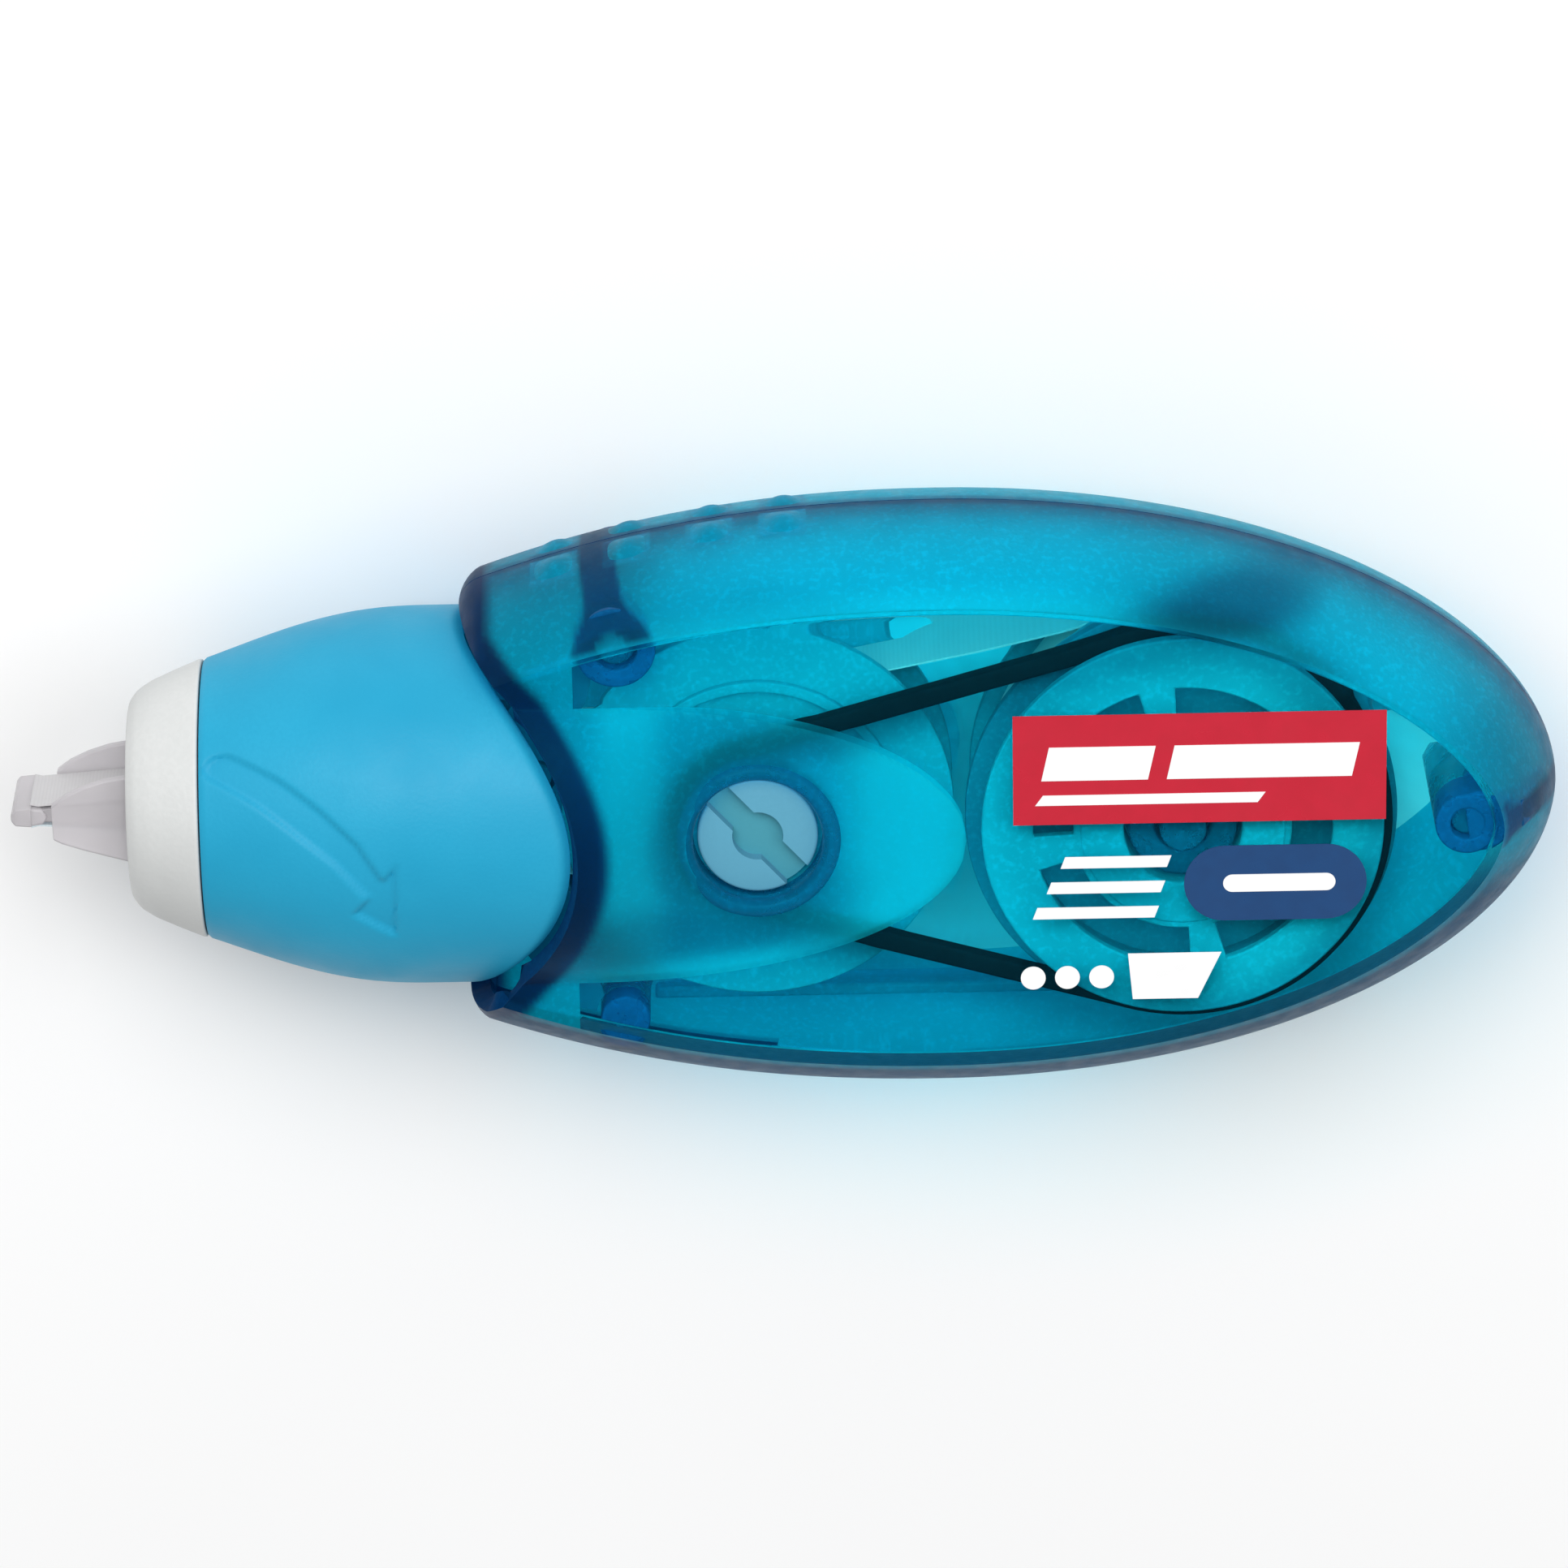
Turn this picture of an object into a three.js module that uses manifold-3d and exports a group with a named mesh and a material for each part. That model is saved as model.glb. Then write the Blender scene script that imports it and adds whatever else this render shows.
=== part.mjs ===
// Twist correction tape roller, lying on its rear side. Millimetres.
// X runs along the length with the nose towards -X, Y across the height, +Z up out of the front side.
// Everything is drawn about the barrel's axis and lifted by MID_HEIGHT at the end.
import * as THREE from "three";
import { mergeVertices } from "three/addons/utils/BufferGeometryUtils.js";
import Module from "manifold-3d";

const wasm = await Module();
wasm.setup();

// ---- driving dimensions ----
const MID_HEIGHT = 13.3; // parting plane above the table, set by the bulge at the mouth
const PARTING_GAP = 0.3;
const CLEAR = 0.3; // between fixed neighbours
const RUN = 0.25; // radial clearance of a turning or sliding fit

// Body outline in the parting plane: a bowed nose half and an egg-shaped tail half
const HALF_HEIGHT = 19.77;
const CREST_X = 10;
const TAIL_X = 50;
const NOSE_CUT_X = -20.7;
const NOSE_DROP = 5.3; // how far the outline has fallen at the nose cut
const NOSE_POWER = 2.2;
const TAIL_POWERS = [2.05, 1.85];
const PANEL_Z = 9.35; // flat window panels
const CROWN = 4.0; // side surface pulls in this far between parting line and panel
const SIDE_WALL = 1.6;
const PANEL_WALL = 1.3;

// Bulge that carries the barrel's round shape on into the body and dies out in an ogive
const BULGE = { tipX: 11.6, halfWidth: 9.5, noseX: -21.5, fullX: -13.6, rise: 3.95, fadeX: -2.5 };
const MOUTH = { x: -13.2, radius: 13.3, depth: 7.4 };
const BORE_R = 12.6;

// Bosses that join the two shells, each with a web that reaches to the side wall
const BOSSES = [
  { x: -10.6, y: 12.8, r: 2.6, hole: 1.4, reach: [-11.2, 16.2] },
  { x: -10.5, y: -13.2, r: 1.6, hole: 0.9, reach: [-11.0, -16.2] },
  { x: 43.7, y: 0, r: 2.05, hole: 1.05, reach: [48.2, 0] },
];
const BOSS = { top: 6.2, pinEnd: 2, webStart: 0.8, webEnd: 0.35 }; // web half-widths as shares of r
const ROOT = 0.4; // how far a fitting reaches into the panel that it grows from
const HUB_RING = { r: 5.35, back: 6.9, front: 8.85 }; // raised ring round the window for the hub
const RIB = { x0: -8.7, x1: 25, y: -15.2, thick: 0.9, front: -4.4 }; // stiffener on the lower side wall

// Spools and belt
const SUPPLY = { x: 25.5, packR: 12.4, coreR: 7.5, flangeR: 13.4, boreR: 3.8 };
const AXLE = { r: 3.5, hole: 1.8, top: 7.1 }; // post that the supply spool turns on
const TAKEUP = { x: -1.74, packR: 5.7, coreR: 4.8, flangeR: 12.7, hubR: 3.87, shaftR: 3.2 };
const STUB = { r: 2.2, top: 1.5 }; // post that the take-up spool turns on
const HUB = {
  faceZ: 8.1, capBack: 6.75, shaftBack: -3.9, slotDeg: -48, slotWidth: 1.86, dimpleR: 1.64, deep: 1.1,
}; // turning-key slot across a round dimple
const WASHER = { r: 10, gap: 0.15, front: 4.25 };
const GUIDE_RING = { inner: 8.5, outer: 9.2, rise: 0.6 }; // bead on the take-up spool's front flange
const TAPE_HALF = 2.5; // half the tape's width
const TAPE_THICK = 0.25;
const FLANGE = { inner: 2.9, outer: 3.7 };
const BELT = { z: 6.0, width: 1.25, thick: 1.3, small: 5.5, big: 12.9 };
const BIG_PULLEY = {
  backR: 13.9, frontR: 12.9, half: 0.8, rim: 0.8, bayIn: 7, bayOut: 9.6, spokeDeg: 14, firstDeg: 10,
}; // two rims with a groove between them and four bays in the web
const SMALL_PULLEY = { backR: 6.3, back: -1.5, seat: -0.8, drumBack: -1, drumFront: 0.7 }; // from BELT.z

// Nose tube, barrel and collar
const TUBE = { r: 6.0, bore: 5.2, front: -40.9, rear: -17 };
const CHEEK = { z: 5.6, thick: 1.2 };
const KEY = { half: 0.5, slotHalf: 0.8, root: 4, top: 6.6 }; // keeps the collar from turning on the tube
const SLEEVE = { r: 8.0, front: -34.2, rear: -20.2, flangeR: 10.3, flangeFront: -24.2, flangeRear: -22.6 };
const FOLLOWER = { x: -32.4, r: 1.0, top: 7.6 };
const GUIDE = { x: -15.8, y: 3.3, r: 0.9, half: 5.5 }; // the two pins that lead the tape into the tube
const TRAVEL = 10.05; // collar travel over a quarter turn of the barrel
const TWIST = Math.PI / 2;
const BARREL_R = 12.25;
const BARREL_SADDLE = { x: -20.5, depth: 6.8 };
const BARREL_OUTSIDE = [[-37.2, 9.15], [-36.4, 9.4], [-34.6, 10.05], [-32.6, 10.75], [-30.4, 11.4],
  [-28.2, 11.9], [-26, 12.2], [-24, BARREL_R], [-10, BARREL_R]];
const BARREL_INSIDE = [[-10, 10.6], [-24, 10.6], [-27, 10.5], [-30.4, 9.9], [-33.6, 8.95],
  [-36.4, 8.8], [-36.4, 8.2], [-37.2, 8.2]];

// Applicator tip
const TIP = { end: -50, rear: -36, plateIn: 2.7, plateOut: 3.3, bar: 1.6, barHalf: 2.9 };
const TIP_PIN = { x: -38, r: 0.8, half: 5.4 };

// ---- helpers ----
// A geometry as a solid: positions only, shared vertices merged
function solid(geometry) {
  const g = geometry.clone();
  for (const name of ["normal", "uv"]) g.deleteAttribute(name);
  const m = mergeVertices(g, 1e-4);
  const vertProperties = new Float32Array(m.attributes.position.array);
  const made = new wasm.Manifold(
    new wasm.Mesh({ numProp: 3, vertProperties, triVerts: new Uint32Array(m.index.array) }),
  );
  if (made.volume() < 0) throw new Error("faces point inwards");
  return made;
}

function geometryOf(made) {
  const m = made.getMesh();
  const g = new THREE.BufferGeometry();
  g.setAttribute("position", new THREE.BufferAttribute(new Float32Array(m.vertProperties), 3));
  g.setIndex(new THREE.BufferAttribute(new Uint32Array(m.triVerts), 1));
  g.computeVertexNormals();
  return g;
}

const joined = (solids) => solids.reduce((a, b) => a.add(b));
const cut = (from, solids) => solids.reduce((a, b) => a.subtract(b), from);

// A flat outline (list of [x, y]) from z0 to z1
function plate(points, z0, z1) {
  const shape = new THREE.Shape(points.map(([x, y]) => new THREE.Vector2(x, y)));
  const g = new THREE.ExtrudeGeometry(shape, { depth: z1 - z0, bevelEnabled: false, curveSegments: 12 });
  return solid(g.translate(0, 0, z0));
}

// A round bar or tube along Z
function disc(x, y, r, z0, z1, hole = 0, segments = 16) {
  const shape = new THREE.Shape().absarc(x, y, r, 0, 2 * Math.PI, false);
  if (hole > 0) shape.holes.push(new THREE.Path().absarc(x, y, hole, 0, 2 * Math.PI, true));
  const g = new THREE.ExtrudeGeometry(shape, { depth: z1 - z0, bevelEnabled: false, curveSegments: segments });
  return solid(g.translate(0, 0, z0));
}

// A closed profile of [x, radius] points turned about the X axis
function turned(profile, segments = 32) {
  const g = new THREE.LatheGeometry(profile.map(([x, r]) => new THREE.Vector2(r, x)), segments);
  return solid(g.rotateZ(-Math.PI / 2));
}

const box = (x0, x1, y0, y1, z0, z1) =>
  solid(
    new THREE.BoxGeometry(x1 - x0, y1 - y0, z1 - z0).translate((x0 + x1) / 2, (y0 + y1) / 2, (z0 + z1) / 2),
  );

// Rings of equal length, stacked in order, closed by a fan at each end
function loft(rings) {
  const n = rings[0].length;
  const points = rings.flat();
  const index = [];
  for (let k = 0; k + 1 < rings.length; k++)
    for (let i = 0; i < n; i++) {
      const [a, b] = [k * n + i, k * n + ((i + 1) % n)];
      index.push(a, b, a + n, b, b + n, a + n);
    }
  const ends = [rings[0], rings[rings.length - 1]].map((ring) => {
    const centre = [0, 1, 2].map((c) => ring.reduce((sum, p) => sum + p[c], 0) / n);
    return points.push(centre) - 1;
  });
  const last = (rings.length - 1) * n;
  for (let i = 0; i < n; i++) {
    const j = (i + 1) % n;
    index.push(ends[0], j, i, ends[1], last + i, last + j);
  }
  const g = new THREE.BufferGeometry();
  g.setAttribute("position", new THREE.Float32BufferAttribute(points.flat(), 3));
  g.setIndex(index);
  return solid(g);
}

// ---- body forms ----
function halfHeight(x) {
  if (x < CREST_X) {
    const run = (CREST_X - x) / (CREST_X - NOSE_CUT_X);
    return HALF_HEIGHT - NOSE_DROP * run ** NOSE_POWER;
  }
  const run = Math.min(1, (x - CREST_X) / (TAIL_X - CREST_X));
  return HALF_HEIGHT * Math.max(0, 1 - run ** TAIL_POWERS[0]) ** (1 / TAIL_POWERS[1]);
}

// Outline of the body, anticlockwise from the lower nose corner, pulled in by inset
const NOSE_STEPS = 8;
const TAIL_STEPS = 14;
function outline(inset) {
  const lower = [];
  for (let i = 0; i <= NOSE_STEPS; i++) lower.push(-24 + ((CREST_X + 24) * i) / NOSE_STEPS);
  for (let i = 1; i < TAIL_STEPS; i++) {
    const turn = (Math.PI / 2) * (i / TAIL_STEPS);
    lower.push(CREST_X + (TAIL_X - CREST_X) * Math.sin(turn));
  }
  const under = lower.map((x) => [x, -halfHeight(x)]);
  const over = under.map(([x, y]) => [x, -y]).reverse();
  const ring = [...under, [TAIL_X, 0], ...over];
  const n = ring.length;
  return ring.map(([x, y], i) => {
    const [ax, ay] = ring[Math.max(i - 1, 0)];
    const [bx, by] = ring[Math.min(i + 1, n - 1)];
    const length = Math.hypot(bx - ax, by - ay);
    return [x - (inset * (by - ay)) / length, y + (inset * (bx - ax)) / length];
  });
}

// Lens-shaped body: crowned sides that end at a flat panel on each face
function lens(wall, panelZ) {
  const levels = [-1, -0.75, -0.4, 0, 0.4, 0.75, 1];
  return loft(
    levels.map((level) => {
      const z = level * panelZ;
      const inset = wall + CROWN * (z / PANEL_Z) ** 2;
      return outline(inset).map(([x, y]) => [x, y, z]);
    }),
  );
}

// Half-width of the bulge where it meets the panel, and its height above the panel at mid-width
function bulgeWidth(x) {
  const run = (x - BULGE.fullX) / (BULGE.tipX - BULGE.fullX);
  return x < BULGE.fullX ? BULGE.halfWidth : BULGE.halfWidth * Math.sqrt(Math.max(0, 1 - run ** 2.2));
}
function bulgeRise(x) {
  if (x < BULGE.fullX) return BULGE.rise;
  const run = Math.min(1, (x - BULGE.fullX) / (BULGE.fadeX - BULGE.fullX));
  return BULGE.rise * (1 - run) ** 2 * (1 + 2 * run) * 0.92 + BULGE.rise * 0.08 * (1 - run);
}

// Solid under the bulge on both faces, thinned by wall on every side
function bulge(wall) {
  const stations = [BULGE.noseX, BULGE.fullX, -11.5, -9.5, -7.5, -5.5, -3.5, 0, 4, 8, 10.5];
  const across = [-1, -0.8, -0.6, -0.4, -0.2, 0, 0.2, 0.4, 0.6, 0.8, 1];
  return loft(
    stations.map((x) => {
      const half = Math.max(0.5, bulgeWidth(x) - wall);
      const top = across.map((t) => [x, t * half, PANEL_Z - wall + bulgeRise(x) * (1 - t * t) + 0.02]);
      const under = top.map(([px, y, z]) => [px, y, -z]);
      return [...top.reverse(), ...under];
    }),
  );
}

// What the mouth removes from the body: everything ahead of a bowed edge
function mouthCutter() {
  const [ahead, side] = [2 * NOSE_CUT_X, 30]; // beyond the body
  const points = [[ahead, -side], [NOSE_CUT_X, -side]];
  const steps = 16;
  for (let i = 0; i <= steps; i++) {
    const y = MOUTH.radius * (-1 + (2 * i) / steps);
    points.push([MOUTH.x - (MOUTH.depth * y * y) / MOUTH.radius ** 2, y]);
  }
  points.push([NOSE_CUT_X, side], [ahead, side]);
  return plate(points, -side, side);
}

// Tapered web from a boss to the side wall
function web({ x, y, r, reach }, z0, z1) {
  const [dx, dy] = [reach[0] - x, reach[1] - y];
  const length = Math.hypot(dx, dy);
  const [nx, ny] = [(-dy / length) * r, (dx / length) * r];
  return plate(
    [
      [x - nx * BOSS.webStart, y - ny * BOSS.webStart],
      [reach[0] - nx * BOSS.webEnd, reach[1] - ny * BOSS.webEnd],
      [reach[0] + nx * BOSS.webEnd, reach[1] + ny * BOSS.webEnd],
      [x + nx * BOSS.webStart, y + ny * BOSS.webStart],
    ].reverse(),
    z0,
    z1,
  );
}

const innerZ = PANEL_Z - PANEL_WALL;
const outerForm = lens(0, PANEL_Z).add(bulge(0));
const innerForm = joined([lens(SIDE_WALL, innerZ), bulge(PANEL_WALL)]);
const bore = turned([[-30, 0], [-30, BORE_R], [MOUTH.x - 0.2, BORE_R], [MOUTH.x - 0.2, 0]]);
const hollow = cut(outerForm, [innerForm, mouthCutter(), bore]);
const half = PARTING_GAP / 2;
const frontHalf = box(-60, 60, -40, 40, half, 40);
const rearHalf = box(-60, 60, -40, 40, -40, -half);

function frontShell() {
  let shell = hollow.intersect(frontHalf);
  const ring = disc(TAKEUP.x, 0, HUB_RING.r, HUB_RING.back, HUB_RING.front);
  const pins = BOSSES.map(({ x, y, hole }) => disc(x, y, hole - CLEAR, BOSS.pinEnd, innerZ + ROOT, 0, 8));
  const pivot = disc(SUPPLY.x, 0, AXLE.hole - CLEAR, BOSS.pinEnd, innerZ + ROOT, 0, 10);
  const room = BOSSES.map(({ x, y, r }) => disc(x, y, r + CLEAR, 0, BOSS.top + CLEAR, 0, 12));
  const fittings = joined([ring, pivot, ...pins]).intersect(outerForm.add(ring));
  shell = cut(shell, room).add(fittings);
  return shell.subtract(disc(TAKEUP.x, 0, TAKEUP.hubR + RUN, BELT.z, MID_HEIGHT));
}

function rearShell() {
  const shell = hollow.intersect(rearHalf);
  const posts = BOSSES.flatMap((boss) => [
    disc(boss.x, boss.y, boss.r, -innerZ - ROOT, BOSS.top, 0, 12),
    web(boss, -innerZ - ROOT, -1),
  ]);
  const holes = BOSSES.map(({ x, y, hole }) => disc(x, y, hole, 0, PANEL_Z, 0, 8));
  const axle = disc(SUPPLY.x, 0, AXLE.r, -innerZ - ROOT, AXLE.top);
  const axleHole = disc(SUPPLY.x, 0, AXLE.hole, 0, PANEL_Z, 0, 10);
  const stub = disc(TAKEUP.x, 0, STUB.r, -innerZ - ROOT, STUB.top, 0, 12);
  const rib = box(RIB.x0, RIB.x1, RIB.y - RIB.thick, RIB.y, -innerZ - ROOT, RIB.front);
  const fittings = joined([...posts, axle, stub, rib]).intersect(outerForm);
  return cut(shell.add(fittings), [...holes, axleHole]);
}

// ---- nose: tube that carries the tip, fixed between the shells ----
function tipCarrier() {
  const tube = turned([
    [TUBE.front, TUBE.bore],
    [TUBE.front, TUBE.r],
    [TUBE.rear, TUBE.r],
    [TUBE.rear, TUBE.bore],
    [TUBE.front, TUBE.bore],
  ]);
  const across = (x, y, r, segments) => disc(x, y, r + CLEAR, -SLEEVE.r, SLEEVE.r, 0, segments);
  const cheeks = [-CHEEK.z, CHEEK.z - CHEEK.thick].map((z) => plate(cheekOutline(), z, z + CHEEK.thick));
  const followers = [
    disc(FOLLOWER.x, 0, FOLLOWER.r, -FOLLOWER.top, -CHEEK.z, 0, 8),
    disc(FOLLOWER.x, 0, FOLLOWER.r, CHEEK.z, FOLLOWER.top, 0, 8),
  ];
  const guideHoles = [-1, 1].map((side) => across(GUIDE.x, side * GUIDE.y, GUIDE.r, 8));
  const keySlot = box(TUBE.front - 1, SLEEVE.flangeFront, KEY.root, SLEEVE.r, -KEY.slotHalf, KEY.slotHalf);
  const pinHole = across(TIP_PIN.x, 0, TIP_PIN.r, 8);
  const notches = BOSSES.slice(0, 2).map(({ x, y, r }) => across(x, y, r, 12));
  return cut(joined([tube, ...cheeks, ...followers]), [keySlot, pinHole, ...guideHoles, ...notches]);
}

// Side cheek: a bridge across the tube's rear with an arm to the boss above and below
function cheekOutline() {
  const upper = [[-14.3, 2.4], [-13.7, 6.2], [-12.4, 9.2], [-11.6, 13.2], [-14.5, 12.4], [-18.0, 7.3]];
  const lower = upper.map(([x, y]) => [x, -y]).reverse();
  return [...lower, ...upper];
}

function applicatorTip() {
  const plateEdge = [
    [-47.4, -1.3], [-46.6, -1.9], [-42.3, -3.1], [TIP.rear, -3.1],
    [TIP.rear, 3.0], [-42.3, 3.0], [-45.2, 2.1], [-47.0, 1.3], [-47.4, 0.9],
  ];
  const plates = [plate(plateEdge, -TIP.plateOut, -TIP.plateIn), plate(plateEdge, TIP.plateIn, TIP.plateOut)];
  const bladeFront = TIP.end + TIP.bar - 0.2;
  const bladeHalf = TIP.plateOut - 0.2;
  const blade = plate([[bladeFront, -0.45], [TIP.rear, -1.1], [TIP.rear, 1.1], [bladeFront, 0.45]],
    -bladeHalf, bladeHalf);
  const bar = plate([[TIP.end, -0.35], [TIP.end + 0.3, -0.7], [TIP.end + TIP.bar, -0.8],
    [TIP.end + TIP.bar, 0.8], [TIP.end + 0.3, 0.7], [TIP.end, 0.35]], -TIP.barHalf, TIP.barHalf);
  const pinHole = disc(TIP_PIN.x, 0, TIP_PIN.r + CLEAR, -SLEEVE.r, SLEEVE.r, 0, 8);
  return joined([...plates, blade, bar]).subtract(pinHole);
}

// ---- nose collar, slides on the tube ----
function noseCollar() {
  const inner = TUBE.r + RUN;
  const shell = turned([
    [-42.3, 5.0], [-42.3, 6.2], [-41.9, 6.95], [-40.84, 7.66], [-39.3, 8.35], [-37.5, 9.1],
    [-37.5, 7.9], [-34.8, 7.9], [-34.8, inner], [-41.3, inner], [-41.3, 5.0], [-42.3, 5.0],
  ]);
  return shell.add(box(-41.5, -36, 5.5, KEY.top, -KEY.half, KEY.half));
}
const retainer = () => turned([[-36.1, 8.1], [-36.1, 8.5], [-35.3, 8.5], [-35.3, 8.1], [-36.1, 8.1]]);

// ---- twist barrel ----
function barrelGrip() {
  const tube = turned([...BARREL_OUTSIDE, ...BARREL_INSIDE, BARREL_OUTSIDE[0]], 40);
  const points = [[20, -30], [20, 30]];
  const steps = 16;
  for (let i = 0; i <= steps; i++) {
    const y = BARREL_R * (1 - (2 * i) / steps);
    const x = BARREL_SADDLE.x + BARREL_SADDLE.depth * (1 - (y * y) / BARREL_R ** 2);
    points.push([x, y]);
  }
  points.splice(2, 0, [BARREL_SADDLE.x, 30]);
  points.push([BARREL_SADDLE.x, -30]);
  return tube.subtract(plate(points, -30, 30));
}

// Sleeve with two helical slots that the followers run in
function camSleeve() {
  const inner = TUBE.r + RUN;
  const sleeve = turned([
    [SLEEVE.front, inner], [SLEEVE.front, SLEEVE.r], [SLEEVE.flangeFront, SLEEVE.r],
    [SLEEVE.flangeFront, SLEEVE.flangeR], [SLEEVE.flangeRear, SLEEVE.flangeR],
    [SLEEVE.flangeRear, SLEEVE.r], [SLEEVE.rear, SLEEVE.r], [SLEEVE.rear, inner], [SLEEVE.front, inner],
  ]);
  const steps = 11;
  const slots = [];
  for (const side of [0, Math.PI])
    for (let i = 0; i <= steps; i++) {
      const share = i / steps;
      const bit = new THREE.CylinderGeometry(FOLLOWER.r + CLEAR, FOLLOWER.r + CLEAR, 4, 12);
      bit.rotateX(Math.PI / 2).translate(0, 0, 7.4);
      bit.rotateX(side + share * TWIST).translate(FOLLOWER.x + share * TRAVEL, 0, 0);
      slots.push(solid(bit));
    }
  return cut(sleeve, slots);
}

// ---- spools ----
const spoolRing = (x, r, hole, z0, z1) => disc(x, 0, r, z0, z1, hole);

function supplyPulley() {
  const drumR = BELT.big - BELT.thick / 2 - CLEAR;
  const { backR, frontR, half: groove, rim, bayIn, bayOut, spokeDeg, firstDeg } = BIG_PULLEY;
  const [back, front] = [BELT.z - groove, BELT.z + groove];
  const body = joined([
    spoolRing(SUPPLY.x, backR, 0, back - rim, back),
    spoolRing(SUPPLY.x, drumR, 0, back - rim / 2, front + rim / 2),
    spoolRing(SUPPLY.x, frontR, 0, front, front + rim),
  ]);
  const bays = [0, 1, 2, 3].map((k) => {
    const from = THREE.MathUtils.degToRad(firstDeg + 90 * k + spokeDeg / 2);
    const to = THREE.MathUtils.degToRad(firstDeg + 90 * (k + 1) - spokeDeg / 2);
    const shape = new THREE.Shape().absarc(0, 0, bayOut, from, to, false).absarc(0, 0, bayIn, to, from, true);
    const g = new THREE.ExtrudeGeometry(shape, { depth: BELT.z, bevelEnabled: false, curveSegments: 12 });
    return solid(g.translate(SUPPLY.x, 0, BELT.z / 2));
  });
  return cut(body, [...bays, spoolRing(SUPPLY.x, SUPPLY.boreR, 0, 0, PANEL_Z)]);
}

function takeupPulley() {
  const drumR = BELT.small - BELT.thick / 2 - CLEAR;
  const { backR, back, seat, drumBack, drumFront } = SMALL_PULLEY;
  const body = joined([
    spoolRing(TAKEUP.x, backR, 0, BELT.z + back, BELT.z + seat),
    spoolRing(TAKEUP.x, drumR, 0, BELT.z + drumBack, BELT.z + drumFront),
  ]);
  return body.subtract(spoolRing(TAKEUP.x, TAKEUP.shaftR + CLEAR, 0, 0, PANEL_Z));
}

function takeupHub() {
  const cap = spoolRing(TAKEUP.x, TAKEUP.hubR, 0, HUB.capBack, HUB.faceZ);
  const shaft = spoolRing(TAKEUP.x, TAKEUP.shaftR, 0, HUB.shaftBack, HUB.capBack + ROOT);
  const slot = new THREE.BoxGeometry(3 * TAKEUP.hubR, HUB.slotWidth, 2 * HUB.deep);
  slot.rotateZ(THREE.MathUtils.degToRad(HUB.slotDeg)).translate(TAKEUP.x, 0, HUB.faceZ);
  return cut(cap.add(shaft), [
    solid(slot),
    spoolRing(TAKEUP.x, HUB.dimpleR, 0, HUB.faceZ - HUB.deep, PANEL_Z),
    spoolRing(TAKEUP.x, STUB.r + RUN, 0, HUB.shaftBack - 1, STUB.top + CLEAR),
  ]);
}

function takeupFrontFlange() {
  const disk = spoolRing(TAKEUP.x, TAKEUP.flangeR, TAKEUP.shaftR + CLEAR, FLANGE.inner, FLANGE.outer);
  const { inner, outer, rise } = GUIDE_RING;
  return disk.add(spoolRing(TAKEUP.x, outer, inner, FLANGE.outer - 0.1, FLANGE.outer + rise));
}

// ---- belt and tape ----
// Open belt round two pulleys, as an outline at a given distance from the pulley radii
function beltLoop(offset) {
  const distance = SUPPLY.x - TAKEUP.x;
  const lean = Math.asin((BELT.big - BELT.small) / distance);
  const points = [];
  const wrap = (x, r, from, to, steps) => {
    for (let i = 0; i <= steps; i++) {
      const a = from + ((to - from) * i) / steps;
      points.push([x + (r + offset) * Math.cos(a), (r + offset) * Math.sin(a)]);
    }
  };
  wrap(SUPPLY.x, BELT.big, -Math.PI / 2 - lean, Math.PI / 2 + lean, 40);
  wrap(TAKEUP.x, BELT.small, Math.PI / 2 + lean, (3 * Math.PI) / 2 - lean, 20);
  return points;
}
function driveBelt() {
  const [z0, z1] = [BELT.z - BELT.width / 2, BELT.z + BELT.width / 2];
  const outer = plate(beltLoop(BELT.thick / 2), z0, z1);
  return outer.subtract(plate(beltLoop(-BELT.thick / 2), z0 - 1, z1 + 1));
}

// A strip of tape along a route of [x, y] points, thick across it
function strip(route, thick) {
  const sides = [[], []];
  route.forEach(([x, y], i) => {
    const [ax, ay] = route[Math.max(i - 1, 0)];
    const [bx, by] = route[Math.min(i + 1, route.length - 1)];
    const length = Math.hypot(bx - ax, by - ay);
    const [nx, ny] = [(-(by - ay) / length) * (thick / 2), ((bx - ax) / length) * (thick / 2)];
    sides[0].push([x + nx, y + ny]);
    sides[1].push([x - nx, y - ny]);
  });
  return plate([...sides[0].reverse(), ...sides[1]], -TAPE_HALF, TAPE_HALF);
}
const tapeOver = GUIDE.y + GUIDE.r + CLEAR + TAPE_THICK / 2;
const feedRun = () => strip([[24.4, 12.85], [-14.2, tapeOver + 0.5], [-15.8, tapeOver],
  [-17.6, tapeOver - 0.25], [-36, 2.35], [-48.2, 1.25]], TAPE_THICK);
const returnRun = () => strip([[-48.2, -1.25], [-36, -2.35], [-17.6, -tapeOver + 0.25],
  [-15.8, -tapeOver], [-14.2, -tapeOver - 0.15], [-3, -6.25]], TAPE_THICK);

// ---- assembly ----
const COLOURS = {
  shell: [0x0f9cc0, 0.35], grip: [0x45a9dc, 0.5], collar: [0xe8e4df, 0.45], tip: [0xc9c6c6, 0.2],
  spool: [0x39b7cf, 0.3], white: [0xd8dfe4, 0.5], belt: [0x10181f, 0.8], tape: [0xf4f4f0, 0.6],
  carrier: [0xb8d8e2, 0.4],
};

const part = new THREE.Group();
const lifted = new THREE.Group();
lifted.position.z = MID_HEIGHT;
part.add(lifted);

function add(name, made, colour) {
  const [color, roughness] = COLOURS[colour];
  const material = new THREE.MeshStandardMaterial({ color, roughness, metalness: 0 });
  const mesh = new THREE.Mesh(geometryOf(made), material);
  mesh.name = name;
  lifted.add(mesh);
}

const guidePin = (side) => disc(GUIDE.x, side * GUIDE.y, GUIDE.r, -GUIDE.half, GUIDE.half, 0, 8);

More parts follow.
